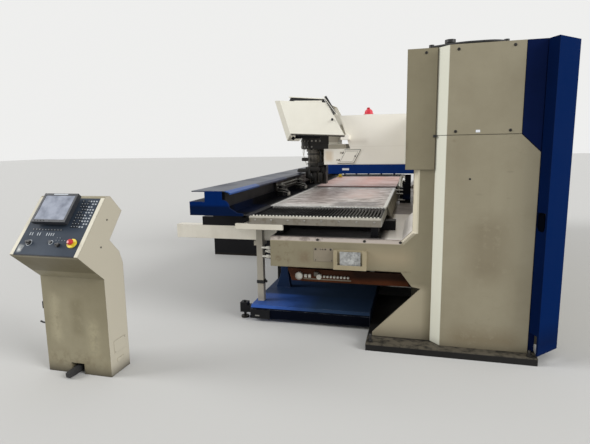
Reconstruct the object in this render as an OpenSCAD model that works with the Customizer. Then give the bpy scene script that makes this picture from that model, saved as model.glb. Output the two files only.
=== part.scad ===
// Punching machine with a C-shaped frame, a coordinate table and a control console.
// The origin is on the floor under the punch. +X runs into the throat, +Y along the machine.

/* [Towers] */
// Height of the end towers above the floor
tower_h = 2200; // [2150:10:2400]
// Distance from the punch axis to the outer face of an end plate
half_l = 2690; // [2680:10:2900]
// Length of an end tower along the machine
tower_l = 1000; // [900:10:1100]
// Left edge of a tower's upper part
tower_x = 1239; // [1225:1:1260]
// Back face of the towers
tower_back = 2305; // [2290:5:2400]
// Edge of the side plate, where the front covers begin
plate_x = 1446; // [1430:1:1460]
// Thickness of a side plate
plate_t = 20; // [12:1:28]
// Width of the folded edge round the throat
fold_w = 32; // [30:1:40]
// Thickness of the floor slabs under the towers
slab_t = 56; // [40:1:70]
// Reach of a floor slab past the front cover
slab_reach = 80; // [40:5:120]

/* [Throat] */
// Edge of the throat opening in the side plate
throat_x = 1332; // [1320:1:1345]
// Height of the throat opening's upper edge
throat_top = 1361; // [1340:1:1400]
// Height and width of the sloped corner of the throat
throat_corner = 94; // [80:1:110]

/* [Bed] */
// Left end of the bed
bed_x = 185; // [170:1:200]
// Height of the bed's top
bed_z = 826; // [818:1:830]
// Height of the bed's underside at the two ends
bed_under = 583; // [560:1:600]
// Left end of the nose that carries the die
nose_x = -90; // [-110:1:-80]
// Tip of the gusset under the bed
gusset_x = 1011; // [990:1:1040]

/* [Front covers] */
// Depth of the front covers
cover_d = 80; // [60:1:100]
// Left edge of the covers' front face
cover_x = 1520; // [1510:1:1540]
// Width of the upper cover's front face
cover_w = 472; // [440:1:490]
// Height of the seam between the covers
seam_z = 1600; // [1550:1:1650]
// Width that the lower cover gains at the jog
jog_w = 124; // [110:1:140]
// Height of the jog
jog_h = 121; // [100:1:140]

/* [Blue corner] */
// Reach of the door's fold past the front cover
fold_reach = 80; // [60:1:100]
// Thickness of the door sheet
door_t = 4; // [3:0.5:6]
// Height of the door's lower edge
door_z = 70; // [60:1:90]
// Height of the grip notch
grip_h = 104; // [90:1:120]
// Middle height of the grip notch
grip_z = 1021; // [900:1:1100]

/* [Upper arm] */
// Height of the arm's top
arm_top = 1914; // [1900:1:1940]
// Height of the arm's underside
arm_under = 1298; // [1290:1:1310]
// Half the width of the arm
arm_half = 250; // [240:1:260]
// Left end of the arm
arm_x = 161; // [155:1:165]
// Height of the blue band under the arm
band_h = 116; // [100:1:120]
// Left end of the band
band_x = 214; // [205:1:230]
// Thickness of the hatch
hatch_t = 6; // [4:0.5:10]

/* [Head] */
// Radius of the head's barrel
barrel_r = 110; // [105:1:115]
// Radius of the collar above the barrel
collar_r = 195; // [190:1:198]
// Height of the collar
collar_h = 136; // [120:1:140]
// Radius of the punch ram
ram_r = 60; // [50:1:65]
// Radius of the tool holder
tool_r = 45; // [40:1:50]
// Radius of the die
die_r = 48; // [40:1:52]
// Height of the tool's tip above the table at rest
tool_gap = 42; // [42:1:50]

/* [Hood] */
// Half the width of the hood
hood_half = 400; // [392:1:420]
// Thickness of the hood's wall
hood_t = 4; // [3:0.5:6]
// Width of the sloped corner at the hood's nose
hood_corner = 90; // [60:1:110]
// Height of the vent on the hood
vent_h = 42; // [30:1:50]

/* [Table] */
// Height of the table's top
table_z = 990; // [986:1:1000]
// Left edge of the table
table_x = -20; // [-25:1:0]
// Width of the table
table_w = 1090; // [1060:1:1100]
// Half the width of the dark gap at the punch
gap_half = 100; // [95:1:120]
// Length of a comb, from the table's toothed edge to the tower's outer face
comb_l = 680; // [640:5:690]
// Thickness of the table's top
top_t = 12; // [8:1:16]
// Height of the comb's rails
comb_h = 65; // [60:1:66]
// Number of slats in a comb
slat_n = 37; // [30:1:40]
// Thickness of a slat
slat_t = 10; // [6:1:14]

/* [Rail] */
// Half the length of the cross rail
rail_half = 2654; // [2600:5:2670]
// Edge of the cover's lip
lip_x = -160; // [-170:1:-155]
// Width of the rail's cover
cover_span = 350; // [330:1:370]
// Height of the rail cover's top
rail_z = 1188; // [1180:1:1192]
// Height of the rail's underside
rail_under = 984; // [975:1:990]
// Thickness of the rail's cover
lip_t = 8; // [6:1:12]
// Distance from a tower's outer face to a ram's middle
ram_in = 490; // [460:5:520]
// Width of a ram and of its beam
ram_w = 100; // [80:1:110]
// Height of a ram
ram_h = 80; // [70:1:85]
// Left end of the rams
ram_x = -620; // [-640:1:-600]
// Length of a ram
ram_l = 1780; // [1700:10:1800]
// Left end of the guide beams
beam_x = -890; // [-900:5:-860]
// Height of a guide beam
beam_h = 126; // [110:1:140]

/* [Clamps] */
// Distance between clamps
clamp_pitch = 860; // [800:10:880]
// Width of a clamp
clamp_w = 90; // [70:1:100]
// Reach of the jaws
jaw_x = -78; // [-84:1:-74]

/* [Base] */
// Height of the base pan's top
pan_z = 145; // [130:1:160]
// Ground clearance of the pan
pan_clear = 30; // [25:1:40]
// Left end of the pan
pan_x = -90; // [-100:1:-80]
// Half the length of the pan
pan_half = 2460; // [2440:1:2480]
// Radius of a levelling foot
foot_r = 36; // [30:1:45]

/* [Console] */
// Distance from the punch axis to the console's front edge
console_y = 3865; // [3800:5:4000]
// Height of the panel's lower edge
panel_z = 893; // [870:1:920]
// Left side of the console
console_x = -1180; // [-1250:1:-1150]
// Width of the console
console_w = 510; // [480:1:540]
// Width of the pale strips beside the panel
strip_w = 28; // [20:1:34]
// Thickness of the panel
panel_t = 5; // [3:0.5:8]
// Width of the monitor
monitor_w = 262; // [240:1:280]
// Height of the monitor
monitor_h = 225; // [190:1:240]
// Radius of the emergency button
estop_r = 19; // [16:1:22]

/* [Hidden] */
$fn = 64;

// Gap between pieces that move past each other
slip = 0.3;
// Radial clearance of a shaft in its hole
fit = 0.05;
// Seam between two covers
seam = 3;
// A cut runs this far past the face that it opens
past = 10;

// Places that several pieces share
core_y = half_l - fold_w - tower_l;
tower_y = half_l - fold_w;
wall_x = throat_x - fold_w;
low_wall_x = plate_x - 60;
box_proud = 14;
face_top = bed_z - fold_w;
mitre = fold_w * tan(22.5);
front_y = -half_l - cover_d;
upper_right = cover_x + cover_w;
lower_right = upper_right + jog_w;
table_right = table_x + table_w;
comb_x = table_x + 30;
comb_w = table_right - comb_x;
comb_under = table_z - comb_h;
table_l = half_l - comb_l;
ram_y = half_l - ram_in;
band_under = arm_under - band_h;
step_z = arm_under + 202;
barrel_under = step_z - 210;
tool_z = table_z + tool_gap;
corner_y = tower_y - 60;
door_x = lower_right + 4;
door_fold_x = door_x + 41;
door_back_x = door_fold_x + 171;
door_fold_y = front_y - fold_reach;
door_back_y = door_fold_y + 180;
hinge_x = door_back_x - 6;
hinge_y = -corner_y - 6;
hinge_zs = [door_z + 230, door_z + 1065, door_z + 1900];
pin_r = 5;
knuckle_h = 60;
lug_t = 8;
rail_x0 = lip_x - cover_span;
tray_z = rail_under + 5;
rail_mid = rail_under + 66;
bar_face = lip_x - 32;
sheet_z = tray_z + 6;
pivot = [jaw_x - 44, sheet_z + 56];
carriage_y = -250;
trough_h = 350;
manifold_z = bed_under - 83;

// Hood outline seen from the front, raised as in use for tool changes
hood_tl = [-435, 2127];
hood_tr = [227, 2068];
hood_br = [455, 1658];
hood_bl = [-242, 1693];
hood_nose_top = [-470, 2124];
hood_nose_low = [-313, 1612];
hood_run = [-0.486, 0.874];

// Draws a flat shape of X and Z, and carries it along Y
module along_y(y0, y1) {
    translate([0, y1, 0])
        rotate([90, 0, 0])
            linear_extrude(y1 - y0)
                children();
}

// Draws a flat shape of Y and Z, and carries it along X
module along_x(x0, x1) {
    translate([x0, 0, 0])
        rotate([90, 0, 90])
            linear_extrude(x1 - x0)
                children();
}

// A box from its lowest to its highest corner
module block(lo, hi) {
    translate(lo)
        cube(hi - lo);
}

// One copy at each end of the machine
module both_ends() {
    children();
    mirror([0, 1, 0])
        children();
}

// A prism with a sloped face between a front edge and a back edge
module slope_prism(a, b, c, d, y0, y1) {
    polyhedron(
        points = [[a[0], y0, a[1]], [b[0], y0, b[1]], [c[0], y1, c[1]], [d[0], y1, d[1]],
            [a[0], y1, a[1]], [b[0], y1, b[1]]],
        faces = [[3, 2, 1, 0], [1, 5, 4, 0], [5, 2, 3, 4], [4, 3, 0], [2, 5, 1]]);
}

module floor_slabs() {
    color("dimgray") {
        block([gusset_x - 36, front_y - slab_reach, 0], [lower_right + 54, -core_y, slab_t]);
        block([gusset_x - 36, core_y, 0], [lower_right + 54, half_l + slab_reach, slab_t]);
    }
}

// Body of one tower, behind its side plate
module tower_block() {
    along_y(-tower_y, -core_y)
        polygon([[low_wall_x, slab_t], [low_wall_x, bed_under], [wall_x, bed_under],
            [wall_x, throat_top], [tower_x, throat_top], [tower_x, tower_h],
            [tower_back, tower_h], [tower_back, slab_t]]);
}

module end_towers() {
    color("tan") {
        difference() {
            tower_block();
            block([door_x - 8, -tower_y - past, 0], [tower_back + past, -corner_y, tower_h + past]);
        }
        for (z = hinge_zs) {
            for (lug = [z - lug_t, z + knuckle_h])
                block([tower_back - 40, hinge_y - 6, lug], [hinge_x + 8, -corner_y + 10, lug + lug_t]);
            translate([hinge_x, hinge_y, z - lug_t])
                cylinder(r = pin_r, h = knuckle_h + 2 * lug_t);
        }
        mirror([0, 1, 0])
            tower_block();
    }
}

// Plate at one end: upper part, throat edge, bed side and gusset
module side_plate() {
    out = [[bed_x, face_top], [throat_x - throat_corner, face_top],
        [throat_x, face_top + throat_corner], [throat_x, throat_top]];
    inn = [[bed_x, bed_z], [throat_x - throat_corner - mitre, bed_z],
        [wall_x, face_top + throat_corner + mitre], [wall_x, throat_top]];
    along_y(-half_l, -half_l + plate_t)
        polygon(concat(out, [[tower_x, throat_top], [tower_x, tower_h], [plate_x, tower_h],
            [plate_x, slab_t], [gusset_x, slab_t], [gusset_x, slab_t + 26], [plate_x - 74, 461],
            [plate_x - 141, 472], [plate_x - 225, bed_under], [bed_x, bed_under]]));
    for (i = [0 : 2])
        slope_prism(out[i], out[i + 1], inn[i + 1], inn[i], -half_l, -tower_y);
    block([tower_x, -half_l - box_proud, throat_top], [plate_x - seam, -half_l + past, tower_h]);
}

module side_plates() {
    color("wheat")
        both_ends()
            side_plate();
}

module middle_column() {
    color("tan")
        block([wall_x, -core_y, 0], [tower_back - 100, core_y, arm_top]);
}

// Plan shape of the folded front covers
module cover_plan(right) {
    polygon([[plate_x, -tower_y], [plate_x, -half_l], [cover_x, front_y], [right, front_y],
        [right, -tower_y]]);
}

module front_cover_upper() {
    color("tan")
        translate([0, 0, seam_z + seam])
            linear_extrude(tower_h - seam_z - seam)
                cover_plan(upper_right);
}

module front_cover_lower() {
    color("tan")
        intersection() {
            translate([0, 0, slab_t])
                linear_extrude(tower_h)
                    cover_plan(lower_right);
            along_y(front_y - past, -tower_y + past)
                polygon([[plate_x - past, 0], [plate_x - past, seam_z], [upper_right, seam_z],
                    [lower_right, seam_z - jog_h], [lower_right, 0]]);
        }
}

module corner_panel() {
    color("midnightblue") {
        along_y(front_y, -tower_y)
            polygon([[upper_right + seam, seam_z + seam], [upper_right + seam, tower_h],
                [lower_right, tower_h], [lower_right, seam_z - jog_h + seam]]);
        block([lower_right - past, front_y + 6, seam_z], [door_fold_x - 4, front_y + 12, tower_h]);
        block([lower_right, front_y + 6, door_z], [door_fold_x - 4, front_y + 12, seam_z + past]);
    }
}

// Plan of the folded door, from its free edge to its hinge edge
module door_plan() {
    polygon([[door_x, front_y], [door_fold_x, door_fold_y], [door_back_x, door_back_y],
        [door_back_x, hinge_y - 7], [door_back_x - door_t, hinge_y - 7],
        [door_back_x - door_t, door_back_y + door_t * 0.4],
        [door_fold_x, door_fold_y + door_t * 2], [door_x + door_t, front_y]]);
}

module corner_door() {
    color("navy") {
        difference() {
            translate([0, 0, door_z])
                linear_extrude(tower_h - door_z)
                    door_plan();
            block([door_x - past, door_fold_y + 12, grip_z - grip_h / 2],
                [door_fold_x + 8, front_y + past, grip_z + grip_h / 2]);
            block([door_x - past, door_fold_y + 12, 0], [door_fold_x + 8, front_y + past, 213]);
            for (z = hinge_zs, lug = [z - lug_t, z + knuckle_h])
                block([door_back_x - 20, hinge_y - 30, lug - 2], [door_back_x + past, hinge_y, lug + lug_t + 2]);
        }
        for (z = hinge_zs)
            translate([hinge_x, hinge_y, z + 2 + slip])
                difference() {
                    cylinder(r = pin_r + 5, h = knuckle_h - 4 - 2 * slip);
                    translate([0, 0, -past])
                        cylinder(r = pin_r + fit, h = knuckle_h + past);
                }
    }
}

// Vent cap and the two glands of the hose
module roof_vent() {
    color("black")
        translate([0, -half_l, tower_h]) {
            translate([tower_x + 294, 190, 0]) {
                cylinder(r = 28, h = 62);
                translate([0, 0, 62])
                    cylinder(r = 38, h = 22);
            }
            last = len(hose_route) - 1;
            for (ends = [[hose_route[0], hose_route[1]], [hose_route[last], hose_route[last - 1]]])
                let (way = ends[1] - ends[0])
                    translate([ends[0][0], ends[0][1], 0])
                        difference() {
                            cylinder(r = hose_r + 8, h = 2 * hose_r + 6);
                            translate([0, 0, hose_r])
                                rotate([0, 90, atan2(way[1], way[0])])
                                    cylinder(r = hose_r + slip, h = 60);
                        }
        }
}

// Centre line of the hose on the roof
hose_r = 10;
hose_sides = 8;
hose_route = [for (p = [[161, 30], [211, 8], [261, -18], [321, -42], [391, -58], [461, -60],
    [531, -58], [591, -40], [641, 0]]) [tower_x + p[0], p[1], hose_r]];

// Sweeps a round section along a route
module sweep(route, r, sides) {
    n = len(route);
    function ahead(i) = route[min(i + 1, n - 1)] - route[max(i - 1, 0)];
    rings = [for (i = [0 : n - 1])
        let (t = ahead(i) / norm(ahead(i)), s = cross([0, 0, 1], t) / norm(cross([0, 0, 1], t)),
            u = cross(t, s))
        for (k = [0 : sides - 1])
            route[i] + r * (s * cos(360 * k / sides) + u * sin(360 * k / sides))];
    walls = [for (i = [0 : n - 2]) for (k = [0 : sides - 1])
        [i * sides + k, i * sides + (k + 1) % sides, (i + 1) * sides + (k + 1) % sides,
            (i + 1) * sides + k]];
    first = [for (k = [0 : sides - 1]) sides - 1 - k];
    last = [for (k = [0 : sides - 1]) (n - 1) * sides + k];
    polyhedron(points = rings, faces = concat([first], walls, [last]));
}

module roof_hose() {
    color("black")
        translate([0, -half_l, tower_h])
            sweep(hose_route, hose_r, hose_sides);
}

// Side view of the arm, with the cut-back end that the hood covers
module arm_side() {
    polygon([[364, arm_top], [wall_x, arm_top], [wall_x, arm_under], [arm_x, arm_under],
        [arm_x, step_z], [500, step_z]]);
}

// Outline of the hatch
hatch = [[428, 1486], [635, 1486], [546, 1318], [339, 1318]];

module hatch_outline() {
    polygon(hatch);
}

module upper_arm() {
    color("wheat")
        difference() {
            along_y(-arm_half, arm_half)
                arm_side();
            along_y(-arm_half - past, -arm_half + 30)
                offset(delta = -12)
                    hatch_outline();
        }
}

module arm_band() {
    color("blue")
        block([band_x, -arm_half - 8, band_under], [wall_x, arm_half + 8, arm_under]);
}

module arm_hatch() {
    color("wheat")
        along_y(-arm_half - slip - hatch_t, -arm_half - slip)
            hatch_outline();
}

module beacon() {
    color("red")
        translate([720, -140, arm_top])
            rotate_extrude()
                polygon([[0, 0], [62, 0], [62, 16], [52, 20], [50, 45], [42, 62], [26, 74], [0, 78]]);
}

module head_collar() {
    color("dimgray")
        difference() {
            union() {
                translate([0, 0, step_z])
                    cylinder(r = collar_r, h = collar_h);
                block([0, -200, step_z], [440, 200, step_z + 60]);
                block([100, -170, step_z + 60], [330, 170, step_z + collar_h + 60]);
            }
            translate([0, 0, step_z - past])
                cylinder(r = ram_r + 12, h = collar_h + 100);
        }
}

module head_barrel() {
    color("gray")
        difference() {
            union() {
                translate([0, 0, barrel_under])
                    cylinder(r = barrel_r, h = step_z - barrel_under);
                translate([0, 0, step_z - 34])
                    cylinder(r = barrel_r + 16, h = 34);
            }
            translate([0, 0, barrel_under - past])
                cylinder(r = ram_r + fit, h = step_z - barrel_under + 2 * past);
        }
}

// Stripper, its rods and the bar beside the head
module head_guide() {
    color("dimgray")
        difference() {
            union() {
                translate([0, 0, barrel_under - 110])
                    cylinder(r = barrel_r - 2, h = 110);
                block([60, -70, table_z + 46], [150, 70, barrel_under]);
                block([-246, -20, rail_z + 16], [-100, 20, rail_z + 50]);
                translate([0, 0, table_z + 40])
                    cylinder(r = tool_r + 16, h = 24);
                block([0, -30, table_z + 46], [70, 30, table_z + 64]);
            }
            translate([0, 0, table_z])
                cylinder(r = tool_r + 6, h = 110);
            translate([0, 0, table_z + 70])
                cylinder(r = ram_r + 12, h = barrel_under - table_z);
        }
}

module punch_ram() {
    color("silver")
        difference() {
            translate([0, 0, tool_z + 74])
                cylinder(r = ram_r, h = step_z + 100 - tool_z - 74);
            translate([0, 0, tool_z + 74 - past])
                cylinder(r = 20 + fit, h = 70 + past);
        }
}

module tool_holder() {
    color("gray")
        translate([0, 0, tool_z])
            rotate_extrude()
                polygon([[0, 0], [16, 0], [16, 14], [tool_r - 8, 20], [tool_r, 28],
                    [tool_r, 74 - slip], [20, 74 - slip], [20, 136], [0, 136]]);
}

module die_bolster() {
    color("dimgray")
        difference() {
            block([nose_x + 20, -gap_half + 12, bed_z], [table_right - 10, gap_half - 12, table_z - 12]);
            translate([0, 0, table_z - 62])
                cylinder(r = die_r + fit, h = 62);
        }
}

module die_holder() {
    color("silver")
        difference() {
            translate([0, 0, table_z - 62 + slip])
                cylinder(r = die_r, h = 62 - slip);
            translate([0, 0, table_z - 30])
                cylinder(r = 17, h = 30 + past);
        }
}

// Direction across the hood's slide, to the left of its right edge
hood_side_way = [-hood_run[1], hood_run[0]];

// Point on the hood's right edge, so far below its upper corner and so far inside
function in_hood(down, inside) = hood_tr - down * hood_run + inside * hood_side_way;

// Guides inside the hood's two walls, fixed to the arm's cut-back end
module hood_guides() {
    wall_y = hood_half - hood_t - slip;
    color("gray")
        both_ends() {
            along_y(-wall_y, -wall_y + 30)
                polygon([in_hood(235, 16), in_hood(480, 16), in_hood(480, 50), in_hood(235, 50)]);
            block([hood_br[0] - 55, -wall_y, hood_br[1] - 48],
                [hood_br[0] + 45, -arm_half, hood_br[1] + 12]);
        }
}

// Side view of the hood, grown at its open lower and right edges
module hood_side(open) {
    top_way = (hood_tr - hood_nose_top) / norm(hood_tr - hood_nose_top);
    nose_way = (hood_nose_low - hood_nose_top) / norm(hood_nose_low - hood_nose_top);
    polygon([hood_nose_top, hood_tr + open * top_way, hood_br + open * [0.8, -0.3],
        hood_bl + open * [0, -1], hood_nose_low + open * nose_way]);
}

// Plan of the hood with its sloped nose corners, carried along the nose
module hood_plan(half, corner) {
    lean = atan2(hood_nose_low[0] - hood_nose_top[0], hood_nose_top[1] - hood_nose_low[1]);
    translate([hood_nose_low[0], 0, hood_nose_low[1]])
        rotate([0, -lean, 0])
            translate([0, 0, -300])
                linear_extrude(1400)
                    polygon([[0, corner - half], [corner, -half], [1100, -half], [1100, half],
                        [corner, half], [0, half - corner]]);
}

module head_hood() {
    color("ivory")
        difference() {
            intersection() {
                along_y(-hood_half, hood_half)
                    hood_side(0);
                hood_plan(hood_half, hood_corner);
            }
            intersection() {
                along_y(-hood_half + hood_t, hood_half - hood_t)
                    offset(delta = -hood_t)
                        hood_side(100);
                translate([hood_t, 0, 0])
                    hood_plan(hood_half - hood_t, hood_corner);
            }
        }
}

// Height of the hood's top at a place along it
function hood_top(x) = hood_nose_top[1]
    + (x - hood_nose_top[0]) * (hood_tr[1] - hood_nose_top[1]) / (hood_tr[0] - hood_nose_top[0]);

// Vent on the hood's top and the seal down its right edge
module hood_vent() {
    color("black") {
        along_y(-hood_half + 20, -hood_half + 60)
            polygon([[-258, hood_top(-258)], [-240, hood_top(-240) + vent_h],
                [192, hood_top(192) + vent_h], [200, hood_top(200)]]);
        along_y(-hood_half, -hood_half + 40)
            polygon([hood_tr, hood_tr + 76 * hood_run, in_hood(-76, -34), in_hood(170, -40),
                in_hood(170, 0)]);
    }
}

// Bed at one end, behind its side plate
module end_bed() {
    along_y(-tower_y, -core_y)
        polygon([[bed_x, bed_under], [bed_x, bed_z], [throat_x - throat_corner - mitre, bed_z],
            [wall_x, face_top + throat_corner + mitre], [wall_x, bed_under]]);
}

module end_beds() {
    color("wheat")
        both_ends()
            end_bed();
}

module bed_core() {
    color("midnightblue")
        block([bed_x, -core_y, pan_z], [wall_x, core_y, bed_z]);
}

module bed_nose() {
    color("black")
        block([nose_x, -core_y + 60, pan_z], [bed_x, core_y - 60, bed_z]);
}

module base_pan() {
    color("mediumblue")
        difference() {
            block([pan_x, -pan_half, pan_clear], [gusset_x - 40, pan_half, pan_z]);
            both_ends()
                translate([pan_x - past, -pan_half, pan_z - 30])
                    rotate([45, 0, 0])
                        cube([gusset_x - pan_x + 2 * past, 80, 80]);
        }
    color("mediumblue")
        both_ends()
            along_y(-tower_y + 780, -tower_y + 840)
                polygon([[bed_x - 210, pan_z - past], [bed_x - 205, pan_z], [bed_x - 155, 300],
                    [bed_x - 155, bed_under], [bed_x + 40, bed_under], [bed_x + 40, bed_under - 45],
                    [bed_x - 85, bed_under - 100], [bed_x - 85, 300], [bed_x - 60, pan_z],
                    [bed_x - 60, pan_z - past]]);
}

// A levelling foot with its stud
module foot(top) {
    cylinder(r = foot_r, h = 16);
    cylinder(r = 12, h = top);
}

module pan_feet() {
    color("black") {
        both_ends() {
            translate([pan_x - 84, 84 - pan_half, 0])
                foot(pan_z + 14);
            block([pan_x - 118, 50 - pan_half, pan_z - 88], [pan_x - 50, 118 - pan_half, pan_z + 2]);
            block([pan_x - 60, 50 - pan_half, pan_z - 85], [pan_x, 118 - pan_half, pan_z - 25]);
            block([pan_x, -pan_half - 10, pan_clear], [pan_x + 180, -pan_half, pan_z - 34]);
            translate([gusset_x - 311, 130 - pan_half, 0])
                foot(pan_clear);
        }
        foot(pan_clear);
    }
}

module manifold_beam() {
    color("saddlebrown")
        both_ends() {
            {
                along_y(20 - pan_half, 80 - pan_half)
                    polygon([[bed_x + 75, manifold_z], [bed_x + 110, manifold_z - 105],
                        [low_wall_x, manifold_z - 105], [low_wall_x, manifold_z]]);
                block([bed_x + 105, 50 - pan_half, manifold_z - past],
                    [bed_x + 145, 80 - pan_half, bed_under]);
            }
        }
}

module manifold_fittings() {
    color("white") {
        translate([bed_x, 20 - pan_half, manifold_z - 55])
            rotate([90, 0, 0]) {
                translate([181, 0, 0])
                    cylinder(r = 31, h = 26);
                for (x = [225, 260])
                    translate([x, -13, 0])
                        cube([22, 26, 20]);
                translate([356, 0, 0])
                    cylinder(r = 22, h = 34);
                for (i = [0 : 7])
                    translate([398 + 29 * i, 0, 0])
                        cylinder(r = 9, h = 22);
            }
    }
}

// Sheet of the table with a toothed outer edge
module table_sheet() {
    n = 38;
    pitch = table_w / n;
    translate([0, 0, table_z - top_t])
        linear_extrude(top_t)
            polygon(concat([[table_right, -gap_half], [table_x, -gap_half]],
                [for (i = [0 : n - 1]) each [[table_x + pitch * i, -table_l],
                    [table_x + pitch * (i + 0.5), -table_l - 24]]],
                [[table_right, -table_l]]));
}

// One half of the table: its sheet and the frame under it
module table_half() {
    table_sheet();
    difference() {
        block([table_x + 14, -table_l + 6, comb_under], [table_right - 14, -gap_half - 6, table_z - top_t]);
        for (i = [0 : 3])
            block([table_x + 74, -table_l + 66 + 470 * i, comb_under - past],
                [table_right - 74, -table_l + 66 + 470 * i + 400, table_z - top_t - 14]);
    }
}

module near_table() {
    color("silver")
        table_half();
}

module far_table() {
    color("rosybrown")
        mirror([0, 1, 0])
            table_half();
}

// Slatted comb between the table's toothed edge and the end of the bed
module comb() {
    y0 = -half_l + 4;
    y1 = -table_l;
    pitch = (comb_w - 40 - slat_t) / (slat_n - 1);
    block([comb_x, y0, comb_under], [comb_x + comb_w, y0 + 30, table_z]);
    block([comb_x, y0 + 30, comb_under], [comb_x + 20, y1, table_z - top_t - 12]);
    block([comb_x + comb_w - 20, y0 + 30, comb_under], [comb_x + comb_w, y1, table_z - top_t - 12]);
    block([comb_x, y1 - 70, comb_under], [comb_x + comb_w, y1, comb_under + 14]);
    for (i = [0 : slat_n - 1])
        translate([comb_x + 20 + pitch * i, 0, 0])
            along_x(0, slat_t)
                polygon([[y0 + 30, comb_under], [y0 + 30, table_z - 4], [y0 + 44, table_z + 6],
                    [y0 + 58, table_z - 16], [y1 - 30, table_z - 16], [y1 - 30, comb_under]]);
}

module near_comb() {
    color("darkslategray")
        comb();
}

module far_comb() {
    color("darkslategray")
        mirror([0, 1, 0])
            comb();
}

module table_supports() {
    color("black")
        both_ends()
            for (x = [110, 890]) {
                block([x, -table_l + 60, bed_z], [x + 70, -gap_half - 20, comb_under]);
                block([x + 90, -half_l + 140, bed_z], [x + 150, -half_l + 330, comb_under]);
            }
}

module table_skirts() {
    color("gray")
        both_ends()
            along_y(-table_l + 30, -gap_half - 60)
                polygon([[table_right, table_z - 4], [table_right + 8, table_z - 4],
                    [table_right + 40, comb_under - 30], [table_right + 32, comb_under - 30],
                    [table_right, comb_under]]);
}

// Leg with the bracket under the guide beam and the arm under the comb
module table_leg() {
    leg_y = -ram_y - ram_w / 2 - 76;
    leg_x = pan_x + 27;
    block([leg_x, leg_y, pan_z], [leg_x + 57, leg_y + 56, comb_under]);
    block([leg_x - 30, leg_y + 20, bed_z - beam_h - 40], [leg_x + 57, -ram_y, bed_z - beam_h]);
    block([leg_x + 10, -half_l + 20, comb_under - 46], [leg_x + 50, leg_y, comb_under]);
    block([leg_x - 52, -half_l + 4, comb_under - 46], [leg_x + 354, -half_l + 34, comb_under]);
}

module table_legs() {
    color("wheat")
        both_ends()
            table_leg();
}

module guide_beams() {
    color("wheat")
        both_ends()
            block([beam_x, -ram_y - ram_w / 2, bed_z - beam_h], [bed_x, -ram_y + ram_w / 2, bed_z]);
}

module chain_trough() {
    color("black")
        difference() {
            block([-1500, -110, 0], [pan_x, 110, trough_h]);
            block([-1490, -100, 60], [pan_x - 60, 100, trough_h + past]);
        }
}

// Folded pocket for papers on the side of the bed
module document_pocket() {
    px = 709;
    color("ivory")
        difference() {
            block([px, -half_l - 34, bed_under + 4], [px + 255, -half_l, face_top - 54]);
            block([px + 4, -half_l - 30, bed_under + 8], [px + 251, -half_l - 4, bed_z]);
            block([px + 30, -half_l - 40, bed_under + 40], [px + 225, -half_l - 20, bed_z]);
        }
}

// Ribbed unit on the bed beside the table
module throat_unit() {
    x0 = table_right + 60;
    color("black")
        difference() {
            block([x0, -340, bed_z], [wall_x - 40, -130, table_z + 20]);
            for (i = [0 : 4])
                block([x0 - past, -350, bed_z + 30 + 32 * i], [wall_x - 50, -320, bed_z + 46 + 32 * i]);
        }
}

module rail_beam() {
    color("darkslategray")
        block([rail_x0 + 150, -rail_half + 30, rail_mid], [lip_x - 60, rail_half - 30, rail_z - lip_t]);
}

module rail_cover() {
    color("steelblue")
        along_y(-rail_half, rail_half)
            polygon([[rail_x0, rail_z - lip_t], [rail_x0, rail_z], [lip_x - 40, rail_z],
                [lip_x, rail_z - 16], [lip_x, rail_z - 30], [lip_x - 10, rail_z - 30],
                [lip_x - 10, rail_z - 20], [lip_x - 44, rail_z - lip_t]]);
}

// End plate of the rail: its foot, its box and the round lobe beside it
module rail_end() {
    along_y(-rail_half - 16, -rail_half)
        union() {
            polygon([[rail_x0 - 15, rail_under], [rail_x0 - 15, rail_under + 115],
                [lip_x - 226, rail_under + 115], [lip_x - 226, rail_z], [lip_x - 74, rail_z],
                [lip_x - 74, rail_mid], [lip_x - 8, rail_mid], [lip_x + 60, rail_under + 26],
                [lip_x + 110, rail_under + 20], [lip_x + 110, rail_under]]);
            translate([lip_x - 74, rail_mid])
                intersection() {
                    circle(r = 66);
                    square(66);
                }
        }
}

module rail_ends() {
    color("blue")
        both_ends()
            rail_end();
}

// Base of the rail with the low tray under the clamps
module rail_base() {
    color("midnightblue")
        along_y(-rail_half, rail_half)
            polygon([[rail_x0 - 15, rail_under], [rail_x0 - 15, rail_under + 115],
                [rail_x0 + 130, rail_under + 115], [rail_x0 + 130, rail_mid], [lip_x - 60, rail_mid],
                [lip_x - 60, tray_z], [lip_x + 110, tray_z], [lip_x + 110, rail_under]]);
}

module rail_rams() {
    top = bed_z + slip + ram_h;
    color("slategray")
        both_ends() {
            block([ram_x, -ram_y - ram_w / 2, bed_z + slip], [ram_x + ram_l, -ram_y + ram_w / 2, top]);
            block([rail_x0, -ram_y - ram_w / 2, top], [lip_x - 60, -ram_y + ram_w / 2, rail_under]);
        }
}

module carriage_bar() {
    color("dimgray")
        block([lip_x - 60 + slip, carriage_y - clamp_pitch - 130, rail_mid + slip],
            [bar_face, carriage_y + clamp_pitch + 130, rail_z - 40]);
}

// Middle of a clamp, counted 1 to 3 along the rail
function clamp_y(i) = carriage_y + clamp_pitch * (i - 2);

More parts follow.
